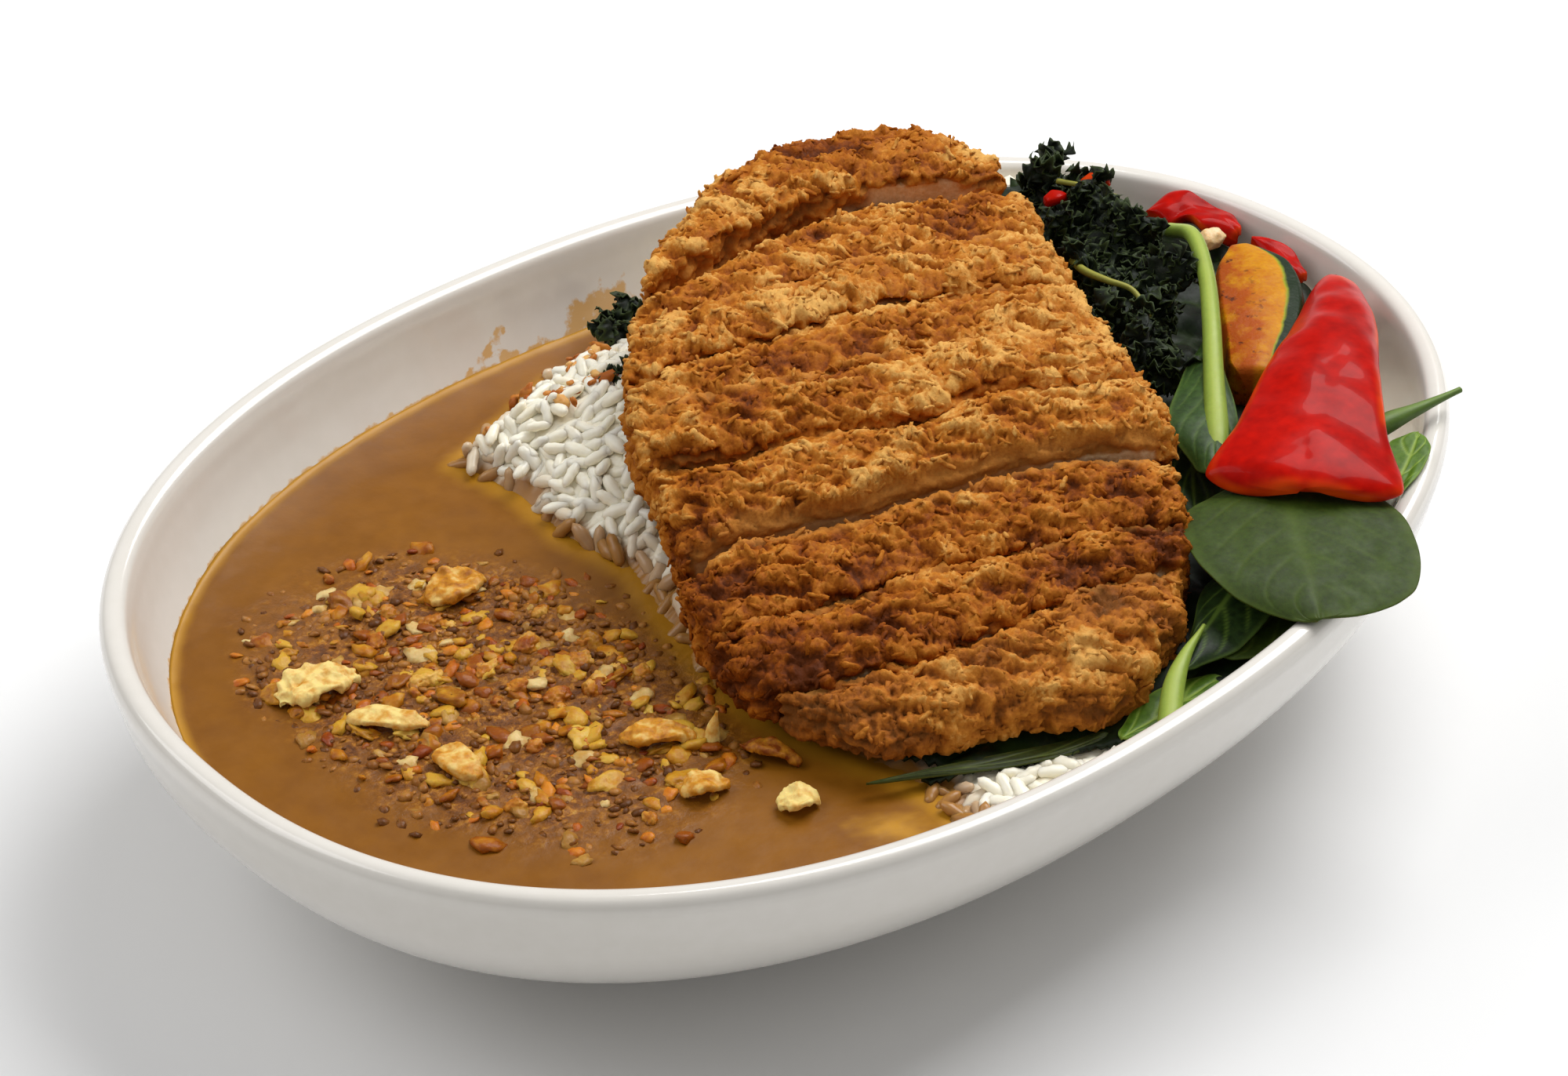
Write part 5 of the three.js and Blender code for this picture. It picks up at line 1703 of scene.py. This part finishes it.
@dataclass
class Greens:
    """The spinach: every leaf and stem, from the top of the pile to the bottom.

    Each leaf is (solid, green, blade), and each stem (solid, green, name, spine, widths, rings).
    """

    tones: tuple[tuple, ...] = (
        ("deep_leaf", srgb(22, 36, 12), srgb(44, 66, 24), srgb(98, 124, 46)),
        ("broad_leaf", srgb(42, 56, 10), srgb(58, 76, 17), srgb(86, 104, 36), 0.5),
        ("fresh_leaf", srgb(34, 54, 18), srgb(56, 82, 30), srgb(116, 142, 66)),
        ("bright_leaf", srgb(62, 92, 18), srgb(92, 126, 32), srgb(150, 174, 74)),
        ("green_stem", srgb(78, 112, 24), srgb(112, 142, 36), srgb(172, 186, 88), 0.3),
        ("olive_leaf", srgb(30, 38, 12), srgb(54, 62, 22), srgb(92, 104, 44)),
        # The last green is the darkest: painted shade in the depths of the pile, under the other leaves.
        ("bed_leaf", srgb(10, 18, 7), srgb(26, 40, 16), srgb(70, 92, 36)),
    )
    leaves: tuple[tuple[str, str, Blade], ...] = (
        ("spinach_big", "broad_leaf", Blade(
            "leaf_big",
            ((85, -3, 53.8), (86, -14, 55), (87, -26, 55.4), (88, -37, 54.9), (88.8, -47, 53.4)),
            ((0, 8), (0.25, 18.5), (0.55, 21), (0.8, 18.5), (1, 11)),
            ((0, 8), (0.25, 18.5), (0.55, 19), (0.8, 14), (1, 6)),
            cup=-1.1, end_share=0.12, ripple=0.3, over_lip=True, rows=100, columns=90,
            vein_share=0.3, vein_relief=0.25,
        )),
        ("spinach_tall", "fresh_leaf", Blade(
            "leaf_tall",
            ((76.4, 42, 56.6), (76, 30, 56.9), (75.4, 17, 56.5), (74.6, 6, 55.8), (74, -3, 54.6)),
            ((0, 0.8), (0.3, 2.5), (0.65, 4.6), (1, 2)), ((0, 0.8), (0.3, 5.5), (0.65, 8.5), (1, 3)),
            cup=-1.2, ripple=0.4, vein_share=0.35,
        )),
        ("spinach_dark", "deep_leaf", Blade(
            "leaf_dark", ((75, 30.5, 49.6), (72.5, 19, 49.2), (71, 5, 48.2), (70.5, -10, 46.6)),
            ((0, 2), (0.4, 6.5), (0.75, 5.5), (1, 2)), ((0, 2), (0.4, 4.5), (0.75, 4), (1, 2)),
            ripple=0.4, veins=3,
        )),
        ("spinach_under", "deep_leaf", Blade(
            "leaf_under", ((84, -20, 48.6), (76, -30, 48), (70, -40, 46.6), (65, -50, 44.8)),
            ((0, 3), (0.35, 8.5), (0.7, 7), (1, 1.5)), ((0, 3), (0.35, 5.5), (0.7, 2.2), (1, 1)),
            cup=-0.8, ripple=0.4, veins=4,
        )),
        ("spinach_wall", "broad_leaf", Blade(
            "leaf_wall", ((90, -24, 45.2), (84, -32, 44.8), (77.5, -40, 44.2), (72.5, -45, 43.7)),
            ((0, 2), (0.4, 5), (0.7, 5), (1, 2)), ((0, 2), (0.4, 6.5), (0.7, 6), (1, 2)),
            ripple=0.3, veins=3,
        )),
        ("spinach_near", "bright_leaf", Blade(
            "leaf_near", ((54, -63, 39.8), (60, -58.3, 40.2), (66.5, -52.8, 40.8), (72.5, -47.5, 41.2)),
            ((0, 2), (0.35, 5), (0.7, 5), (1, 2)), ((0, 1), (0.35, 3.2), (0.7, 3.2), (1, 1)),
            ripple=0.2, veins=3,
        )),
        ("spinach_long", "olive_leaf", Blade(
            "leaf_long",
            ((10, -73, 37.9), (22, -70.4, 38.2), (34, -68, 38.3), (45, -64.5, 38.4), (52, -60, 38.4)),
            ((0, 0.6), (0.3, 1.6), (0.7, 3), (1, 1.5)), ((0, 0.5), (0.3, 0.8), (0.7, 1.2), (1, 0.6)),
            ripple=0.15, veins=3, crinkle=0.1,
        )),
        ("spinach_right", "bright_leaf", Blade(
            "leaf_right", ((106, -6.5, 51.6), (108.5, -1, 52.2), (111, 5, 53), (113, 11, 53.6)),
            ((0, 2), (0.4, 5.5), (0.8, 4.5), (1, 1.5)), ((0, 2), (0.4, 3), (0.8, 3), (1, 1.5)),
            ripple=0.2, over_lip=True, veins=3,
        )),
    )
    stems: tuple[tuple, ...] = (
        ("spinach_tall", "green_stem", "stem_tall", (
            (71.5, 78.5, 56.8), (75.2, 71, 60.2), (76.8, 56, 60.6), (76.6, 40, 60), (76, 26, 57.8),
            (75.6, 15, 55.8), (75.2, 6, 54.3), (74.8, -1, 52.6),
        ), ((0, 1.5), (0.3, 1.7), (0.6, 2), (0.8, 2.4), (1, 1.8)), 70),
        ("spinach_under", "green_stem", "stem_under", (
            (69.5, -41, 47.8), (65.6, -49, 47.1), (63.2, -56, 45.8), (61.8, -65, 43.8),
        ), ((0, 0.4), (0.35, 1.2), (0.65, 1.9), (1, 2.1)), 40),
        ("spinach_stem", "fresh_leaf", "stem_loose", (
            (100, 7.5, 53.2), (107, 12.5, 54.6), (114, 17, 55.2), (122, 22.5, 55.6),
        ), ((0, 2.2), (0.35, 2), (0.6, 1.3), (1, 0.6)), 40),
    )

    def build(self, effects: SharedEffects) -> Material:
        """Makes the leaves and stems, each in its own green.

        Args:
            effects: The shared shader groups.

        Returns:
            The leaves under them, dark green with painted shade.
        """
        greens = {row[0]: LeafFinish(*row).build(effects) for row in self.tones}
        for node, tone, blade in self.leaves:
            finish_piece(blade.build(), greens[tone], Slot.SPINACH, node)
        for node, tone, name, spine, widths, rings in self.stems:
            finish_piece(make_stem(name, spine, widths, rings), greens[tone], Slot.SPINACH, node)
        return greens["bed_leaf"]


@dataclass
class Vegetables:
    """Red pepper, pumpkin and the pale onion bit."""

    pepper_front: Blade = Blade(
        "pepper_strip_front",
        (
            (103.5, 63.5, 55), (100.5, 45, 59.2), (95, 24, 61.2), (91, 4, 61), (89.5, -8, 60),
            (88.5, -15, 58.4),
        ),
        ((0, 5), (0.15, 7.5), (0.35, 11), (0.6, 15), (0.85, 18), (1, 11.5)),
        ((0, 4.5), (0.15, 6.5), (0.35, 8.5), (0.6, 12.5), (0.85, 17.5), (1, 11)),
        cup=-2.4, ripple=0.5, thickness=3.6, edge_share=0.5, rows=140, columns=80, veins=0, crinkle=1.3,
        crinkle_size=16, rounded=True, end_share=0.09,
    )
    pepper_back: tuple[Blade, ...] = (
        strip(
            "pepper_strip_back_1", ((68.5, 97.5, 49), (75, 97, 50.6), (81, 93.5, 50.6), (86.5, 88, 49.4)),
            ((0, 2), (0.25, 5.2), (0.5, 3.4), (0.75, 5), (1, 2)), ripple=0.8, thickness=3, crinkle=0.6,
        ),
        strip(
            "pepper_strip_back_2", ((89.5, 86.5, 49.6), (94.5, 80, 49.2), (98, 73, 48.4)),
            ((0, 1.6), (0.5, 2.8), (1, 1.6)), ripple=0.4, thickness=3, crinkle=0.5,
        ),
        strip(
            "pepper_strip_back_3", ((98, 66, 47.4), (102.5, 65, 48.4), (106.5, 59, 48)),
            ((0, 2), (0.5, 4.4), (1, 2)), ripple=0.6, thickness=3, crinkle=0.5,
        ),
    )
    red_bit: Blade = strip(
        "red_bit", ((47, 84, 59.6), (49.2, 85, 60.4), (51.4, 86.6, 59.6)), ((0, 1), (0.5, 1.7), (1, 1)),
        thickness=2.2, rows=24, columns=16, crinkle=0.6,
    )
    orange_bit: Blade = strip(
        "orange_bit", ((54.5, 90.5, 60.2), (57.5, 91, 61.4), (60.5, 90, 60.2)), ((0, 1), (0.5, 1.6), (1, 1)),
        thickness=2.2, rows=24, columns=16, crinkle=0.6,
    )
    pumpkin: Blade = Blade(
        "pumpkin_slice", ((86.5, 76.5, 50.4), (87, 66, 50.8), (86.5, 50, 50.8), (84, 30, 50)),
        ((0, 3.5), (0.25, 8.5), (0.6, 9.5), (1, 5)), ((0, 3.5), (0.25, 6.8), (0.6, 7.6), (1, 5)),
        ripple=0.15, thickness=10.5, edge_share=0.9, rows=110, columns=70, veins=0, crinkle=0.35,
        rounded=True,
    )

    def build(self, nodes: dict[str, Piece], effects: SharedEffects) -> None:
        """Makes each piece.

        Args:
            nodes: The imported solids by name.
            effects: The shared shader groups.
        """
        red = PepperFinish().build(effects)
        for blade in (self.pepper_front, *self.pepper_back):
            finish_piece(blade.build(), red, Slot.PEPPER, blade.name.replace("_strip", ""))
        for blade, redness in ((self.red_bit, 0.1), (self.orange_bit, 0.8)):
            piece = blade.build()
            store(piece, "margin", np.full(len(piece.data.vertices), redness))
            finish_piece(piece, red, Slot.PEPPER)
        self._pumpkin(effects)
        self._onion(nodes, effects)

    def _pumpkin(self, effects: SharedEffects) -> None:
        """Makes the pumpkin, with rind along its far side and scorching at its near end."""
        piece = self.pumpkin.build()
        _, row, side = self.pumpkin.sheet()
        row, side = np.tile(row, 2), np.tile(side, 2)
        points = mesh_points(piece.data)
        wobble = NOISE.layered(points, 5.0)
        store(piece, "rind", ease(-side + 0.08 * wobble, 0.52, 0.74))
        scorch = 0.12 + 0.95 * ease(side + 0.9 * row + 0.6 * wobble, 0.0, 1.0)
        store(piece, "scorch", np.clip(scorch, 0, 1))
        finish_piece(piece, PumpkinFinish().build(effects), Slot.PUMPKIN, "pumpkin_wedge")

    @staticmethod
    def _onion(nodes: dict[str, Piece], effects: SharedEffects) -> None:
        """Makes the soft onion bit beside the pumpkin."""
        piece, points, normals = even_copy(nodes["onion_piece"], "soft_onion_bit", 0.35)
        set_points(piece.data, points + normals * (0.35 * NOISE.layered(points, 2.4))[:, None])
        store(piece, "tone", 0.6 + 0.4 * NOISE.layered(points, 3.0))
        tones = (srgb(200, 140, 70), srgb(226, 186, 128), srgb(238, 214, 172))
        material = FriedBitFinish("soft_onion", *tones, 0.3).build(effects)
        finish_piece(piece, material, Slot.ONION, "onion_piece")


@dataclass
class KaleHeaps:
    """The fried curly kale: dark cores with frilled leaflets over them.

    Each stem is (name, spine, widths), and the scrap on the rice is (across, along, reach).
    """

    voxel: float = 0.8
    leaflet_kinds: int = 5
    stems: tuple[tuple, ...] = (
        ("kale_stem_curved",
         ((51.5, 62, 59.6), (53.5, 54.5, 61.8), (57.5, 50, 62.5), (62, 47.5, 62), (65, 41, 60.2)),
         ((0, 0.85), (1, 0.5))),
        ("kale_stem_tuft", ((50, 92, 60), (56, 88, 61), (62, 86, 60)), ((0, 0.6), (1, 0.3))),
    )
    stem_tones: tuple[Colour, ...] = (srgb(84, 92, 26), srgb(118, 120, 38), srgb(160, 156, 70))
    scrap: Triple = (-36.0, 36.6, 2.6)

    def leaflet(self, number: int) -> Piece:
        """Makes one frilled leaflet that stands on its root and fans out.

        Args:
            number: Which one it is.

        Returns:
            A thin closed piece about 3 mm tall, with its root at the origin.
        """
        random = np.random.default_rng(400 + number)
        rows, columns = 4, 17
        row, side = np.meshgrid(np.linspace(0, 1, rows), np.linspace(-1, 1, columns), indexing="ij")
        row, side = row.ravel(), side.ravel()
        reach = 3.7 * random.uniform(0.85, 1.15)
        fan = side * (0.95 + 0.25 * random.random())
        phase = random.uniform(0, 6)
        frill = np.sin(side * 10.0 + phase) * row**2 * 1.0 + np.sin(side * 4 + phase * 2) * row * 0.6
        radius = reach * np.sqrt(row) * (1 + 0.06 * np.sin(side * 12 + phase))
        curl = random.uniform(-0.5, 0.8)
        middle = np.stack([
            radius * np.sin(fan) + 0.8 * side * (1 - row),
            frill + curl * row**2 * 2.0,
            radius * np.cos(fan) - 0.8,
        ], axis=1)
        half = np.array([0, 0.2, 0])
        quads = grid_quads(rows, columns)
        piece, _ = thick_sheet(f"leaflet_{number}", middle - half, middle + half, quads)
        rim = ease(row, 0.78, 1.0) * 0.55 + 0.5 * np.exp(-((side / 0.12) ** 2)) * (1 - row)
        store(piece, "vein", np.tile(rim, 2))
        return piece

    def build(self, nodes: dict[str, Piece], mound: Piece, effects: SharedEffects) -> None:
        """Makes both heaps, and the scrap on the rice.

        Args:
            nodes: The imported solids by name.
            mound: The rice, which the scrap lies on.
            effects: The shared shader groups.
        """
        material = KaleFinish().build(effects)
        kinds = [self.leaflet(number) for number in range(self.leaflet_kinds)]
        tree = ScatterTree("kale_leaflets", kinds, material)
        for node, label, seed in (("kale_heap", "kale_mound", 21), ("kale_left", "kale_tuft", 22)):
            surface, points, normals = even_copy(nodes[node], f"{label}_core", self.voxel)
            store(surface, "cover", (normals[:, 2] > -0.3).astype(float))
            frill = tree.strew(
                f"{label}_frill", surface, seed, Spacing=0.0019, Most_Per_Area=5e5, Smallest=0.55,
                Largest=1.05, Tilt=1.1, Sink=-0.0018, Rise=-0.0004,
            )
            surface.data.attributes.remove(surface.data.attributes["cover"])
            set_points(surface.data, points + normals * (0.9 * NOISE.layered(points, 3.2, 2) - 0.9)[:, None])
            store(surface, "vein", np.clip(NOISE.ridged(points, 5.0) - 0.6, 0, 1))
            finish_piece(surface, material, Slot.KALE, node)
            finish_piece(frill, material, Slot.KALE, node)
        across, along = unserve(mesh_points(mound.data))
        near_scrap = np.hypot(across - self.scrap[0], along - self.scrap[1]) < self.scrap[2]
        bed = bed_copy(mound, "scrap_bed", near_scrap.astype(float))
        scrap = tree.strew(
            "kale_scrap", bed, 23, Spacing=0.0011, Most_Per_Area=2e6, Smallest=0.35, Largest=0.7, Tilt=1.2,
            Sink=0.0006, Rise=0.0016,
        )
        delete(bed)
        finish_piece(scrap, material, Slot.KALE)
        tree.clear()
        green = LeafFinish("kale_stem", *self.stem_tones, 0.4).build(effects)
        for name, spine, widths in self.stems:
            finish_piece(make_stem(name, spine, widths), green, Slot.KALE, "kale_heap")


@dataclass
class Topping:
    """Fried garlic and onion on the curry: chips, granules and fine crumbs.

    Each chip is (solid, tone, cragginess), and each fallen spot (across, along, reach). Each sort of
    crumb is (name, three colours, half length, flatness, most per square metre, spacing in metres,
    fineness, seed).
    """

    chip_tones: tuple[tuple[str, float, float], ...] = (
        ("garlic_chip_pale", 0.82, 0.6), ("garlic_chip_yellow", 0.78, 0.1), ("garlic_chip_flat", 0.6, 0.15),
        ("garlic_chip_lump", 0.85, 0.25), ("onion_chip_orange", 0.5, 0.35), ("onion_chip_gold", 0.5, 0.25),
        ("onion_chip_small", 0.6, 0.3), ("onion_chip_brown", 0.2, 0.25),
    )
    horn: Line = ((-16.6, -58.2, 35.2), (-16.3, -57.9, 38.4), (-15.6, -57.6, 41.6))
    fallen: Line = (
        (-42, 50, 6.0), (-54, 45, 3.6), (-46, 34, 5.0), (-40, 35, 3.6), (-51.6, 57, 1.6), (-60, 30, 2.0),
    )
    voxel: float = 0.28
    granule_floor: float = 35.05
    granule_skirt: float = 1.2
    crumb_kinds: int = 4
    first_fallen: int = 90
    chip_colours: tuple[Colour, ...] = (srgb(128, 60, 10), srgb(204, 138, 34), srgb(236, 210, 130))
    granule_colours: tuple[Colour, ...] = (srgb(142, 68, 12), srgb(188, 120, 30), srgb(218, 172, 80))
    fallen_colours: tuple[Colour, ...] = (srgb(164, 88, 22), srgb(206, 136, 56), srgb(226, 176, 104))
    crumbs: tuple[tuple, ...] = (
        ("dark_crumb", srgb(98, 56, 18), srgb(132, 80, 26), srgb(168, 112, 46),
         1.2, 0.32, 1.2e6, 0.0012, 0, 5),
        ("rusty_crumb", srgb(132, 56, 8), srgb(180, 94, 16), srgb(208, 130, 34),
         1.6, 0.34, 1.1e5, 0.0031, 1, 8),
        ("amber_crumb", srgb(142, 72, 6), srgb(182, 114, 16), srgb(206, 158, 50),
         2.0, 0.36, 1.2e5, 0.0028, 1, 6),
        ("pale_crumb", srgb(160, 112, 44), srgb(192, 148, 72), srgb(220, 192, 130),
         1.9, 0.32, 4e4, 0.0042, 1, 7),
        ("gold_flake", srgb(142, 80, 8), srgb(188, 130, 26), srgb(212, 172, 70),
         3.1, 0.26, 2e4, 0.0068, 2, 9),
    )

    def build(self, nodes: dict[str, Piece], pool: Piece, filling: Filling, effects: SharedEffects) -> None:
        """Makes the whole topping.

        Args:
            nodes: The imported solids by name.
            pool: The curry's surface, which the crumbs lie on.
            filling: Knows where the topping's patch is.
            effects: The shared shader groups.
        """
        chip = FriedBitFinish("fried_chip", *self.chip_colours).build(effects)
        for node, tone, craggy in self.chip_tones:
            self._chip(nodes[node], tone, craggy, chip)
        horn = make_stem("crisp_horn", self.horn, ((0, 1.5), (0.5, 1.1), (1, 0.25)))
        store(horn, "tone", np.full(len(horn.data.vertices), 0.75))
        finish_piece(horn, chip, Slot.FRIED_CHIP)
        amber = FriedBitFinish("amber_granule", *self.granule_colours, 0.35).build(effects)
        self._granules(nodes["curry"], amber)
        self._crumbs(pool, filling, effects)

    def _chip(self, node: Piece, tone: float, craggy: float, material: Material) -> None:
        """Makes one chip from its solid, as smooth or as craggy as it should be."""
        name = node.name.split(".")[0]
        piece, points, normals = even_copy(node, f"crisp_{name}", self.voxel)
        relief = (0.5 + craggy) * NOISE.layered(points, 4.6, 2)
        relief = relief + 0.6 * craggy * NOISE.ridged(points, 2.2) + 0.1
        set_points(piece.data, points + normals * relief[:, None])
        store(piece, "tone", np.clip(tone + 0.3 * craggy * NOISE.layered(points, 2.5), 0, 1))
        finish_piece(piece, material, Slot.FRIED_CHIP, name)

    def _granules(self, curry: Piece, material: Material) -> None:
        """Makes the larger granules from the lumps that stand out of the solid curry."""
        source = merged_copy(curry, "fried_granules")
        work = bmesh.new()
        work.from_mesh(source.data)
        floor = self.granule_floor * MM
        low = [face for face in work.faces if max(vert.co.z for vert in face.verts) < floor]
        bmesh.ops.delete(work, geom=low, context="FACES")
        rim = [edge for edge in work.edges if edge.is_boundary]
        made = bmesh.ops.extrude_edge_only(work, edges=rim)
        for vert in (item for item in made["geom"] if isinstance(item, bmesh.types.BMVert)):
            vert.co.z -= self.granule_skirt * MM
        bmesh.ops.holes_fill(work, edges=[edge for edge in work.edges if edge.is_boundary], sides=0)
        bmesh.ops.recalc_face_normals(work, faces=work.faces)
        work.to_mesh(source.data)
        work.free()
        piece = remeshed(source, self.voxel)
        points, normals = mesh_points(piece.data), mesh_normals(piece.data)
        relief = 0.45 * NOISE.layered(points, 2.2, 2) + 0.2 * NOISE.ridged(points, 0.9)
        set_points(piece.data, points + normals * relief[:, None])
        store(piece, "tone", np.clip(0.5 + 0.75 * NOISE.at(points, 9.0), 0, 1))
        finish_piece(piece, material, Slot.CURRY, "curry")

    def _crumbs(self, pool: Piece, filling: Filling, effects: SharedEffects) -> None:
        """Strews the fine crumbs over the patch."""
        points, normals = mesh_points(pool.data), mesh_normals(pool.data)
        across, along = unserve(points)
        patch = filling.patch_share(across, along) * (normals[:, 2] > 0.4)
        patch = patch * (RICE.shore(across, along) < -1.5)
        clump = ease(NOISE.layered(points, 9.0, 2), -0.45, 0.25)
        surface = bed_copy(pool, "crumb_bed", patch * (0.15 + 0.85 * clump))
        for name, *colours, size, flatness, most, spacing, levels, seed in self.crumbs:
            material = FriedBitFinish(name, *colours, 0.3).build(effects)
            numbers = range(10 * seed, 10 * seed + self.crumb_kinds)
            shapes = [SmallShapes.crumb(name, number, size, flatness, levels) for number in numbers]
            piece = strewn(
                f"{name}s", shapes, material, surface, seed, Spacing=spacing, Most_Per_Area=most,
                Smallest=0.5, Largest=1.5, Tilt=0.5, Sink=-0.0005, Rise=0.0002,
            )
            finish_piece(piece, material, Slot.CURRY, "curry")
        delete(surface)

    def fallen_crumbs(self, mound: Piece, effects: SharedEffects) -> None:
        """Strews the crumbs that fell from the crust on the rice."""
        across, along = unserve(mesh_points(mound.data))
        cover = np.zeros(len(across))
        for spot_across, spot_along, reach in self.fallen:
            cover = np.maximum(cover, 1 - np.hypot(across - spot_across, along - spot_along) / reach)
        cover = np.clip(1.6 * cover, 0, 1) * (mesh_normals(mound.data)[:, 2] > 0.2)
        surface = bed_copy(mound, "rice_bed", cover)
        material = FriedBitFinish("fallen_crumb", *self.fallen_colours).build(effects)
        numbers = range(self.first_fallen, self.first_fallen + self.crumb_kinds)
        kinds = [SmallShapes.crumb("fallen", number, 1.6, 0.45) for number in numbers]
        piece = strewn(
            "fallen_crumbs", kinds, material, surface, 61, Spacing=0.0016, Most_Per_Area=6e5, Smallest=0.5,
            Largest=1.3, Tilt=0.6, Sink=0.0008, Rise=0.0022,
        )
        delete(surface)
        finish_piece(piece, material, Slot.CRUST)


@dataclass
class Studio:
    """The floor, the lights and the camera."""

    turn: float = -41.77
    rise: float = 34.34
    distance: float = 750.0
    lens: float = 94.15
    shift: tuple[float, float] = (-0.01505, -0.0413)
    world_light: float = 0.27
    floor_size: float = 3000.0
    floor_level: float = -0.05

    def build(self) -> None:
        """Sets the whole studio up."""
        self._floor()
        self._camera()
        self._lights()
        scene = bpy.context.scene
        scene.view_settings.view_transform = "Standard"
        scene.view_settings.look = "None"

    def _floor(self) -> None:
        """Lays the floor."""
        size, level = self.floor_size, self.floor_level
        corners = [(-size, -size, level), (size, -size, level), (size, size, level), (-size, size, level)]
        floor = new_piece("floor", np.array(corners), [[0, 1, 2, 3]], closed=False)
        floor.data.materials.append(FloorFinish().build())

    @staticmethod
    def _towards(turn: float, rise: float) -> Vector:
        """Gives the direction from the object to an eye at an azimuth and elevation, in degrees."""
        turn, rise = math.radians(turn), math.radians(rise)
        return Vector((math.sin(turn) * math.cos(rise), -math.cos(turn) * math.cos(rise), math.sin(rise)))

    def _camera(self) -> None:
        """Places the camera so that it looks at the middle of the rim."""
        camera = bpy.data.cameras.new("camera")
        camera.lens = self.lens
        camera.sensor_width = 36.0
        camera.shift_x, camera.shift_y = self.shift
        eye = put_in_scene("camera", camera)
        direction = self._towards(self.turn, self.rise)
        eye.location = Vector((0, 0, RIM_HEIGHT * MM)) + direction * self.distance * MM
        eye.rotation_euler = direction.to_track_quat("Z", "Y").to_euler()
        bpy.context.scene.camera = eye

    def _lights(self) -> None:
        """Hangs large soft lights round the object, brightest from behind on the right."""
        for name, turn, rise, distance, size, power in (
            ("key", self.turn + 140, 54, 1.3, 0.9, 17.0),
            ("left_fill", self.turn - 95, 45, 1.5, 1.0, 7.6),
            ("front_fill", self.turn + 15, 66, 1.5, 1.2, 1.4),
        ):
            light = bpy.data.lights.new(name, "AREA")
            light.energy = power
            light.size = size
            lamp = put_in_scene(name, light)
            direction = self._towards(turn, rise)
            lamp.location = direction * distance
            lamp.rotation_euler = direction.to_track_quat("Z", "Y").to_euler()
        world = bpy.data.worlds.new("soft_world")
        world.use_nodes = True
        background = world.node_tree.nodes["Background"]
        background.inputs["Color"].default_value = (1, 1, 1, 1)
        background.inputs["Strength"].default_value = self.world_light
        bpy.context.scene.world = world


def main() -> None:
    """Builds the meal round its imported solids."""
    logging.basicConfig(level=logging.INFO, format="%(message)s")
    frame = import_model()
    nodes = frame["nodes"]
    Studio().build()
    effects = SharedEffects()
    GlazedBowl().build(GlazeFinish().build(effects))
    filling = Filling()
    pool = filling.curry(CurryFinish().build(effects))
    mound = filling.rice_core(RiceFinish().build(effects, "rice_core"))
    strew_rice(mound, effects)
    cutlet = Cutlet()
    cutlet.build(nodes, CrustFinish().build(effects, "fried_crust"))
    strew_flakes(cutlet, effects)
    topping = Topping()
    topping.build(nodes, pool, filling, effects)
    topping.fallen_crumbs(mound, effects)
    KaleHeaps().build(nodes, mound, effects)
    filling.leaf_bed(Greens().build(effects))
    Vegetables().build(nodes, effects)


def strew_rice(mound: Piece, effects: SharedEffects) -> None:
    """Lays the loose grains on the mound, where it shows."""
    material = RiceFinish(gloss=0.3).build(effects, "rice_grain")
    shapes = SmallShapes()
    grains = strewn(
        "rice_grains", [shapes.grain(number) for number in range(5)], material, mound, 31, Spacing=0.0023,
        Most_Per_Area=4e5, Smallest=0.85, Largest=1.1, Tilt=0.5, Sink=-0.0004, Rise=0.0012,
    )
    finish_piece(grains, material, Slot.RICE, "rice")


def strew_flakes(cutlet: Cutlet, effects: SharedEffects) -> None:
    """Lays breadcrumb flakes on the crust."""
    material = CrustFinish().build(effects, "crumb_flake")
    shapes = SmallShapes()
    surface = cutlet.crumb_surface()
    flakes = strewn(
        "crumb_flakes", [shapes.flake(number) for number in range(6)], material, surface, 51, Spacing=0.0015,
        Most_Per_Area=6e5, Smallest=0.55, Largest=1.25, Tilt=0.35, Sink=-0.0005, Rise=0.0001,
    )
    delete(surface)
    slices = [piece.name.replace("crusted", "katsu") for piece in cutlet.made]
    finish_piece(flakes, material, Slot.CRUST, *slices)


if __name__ == "__main__":
    main()
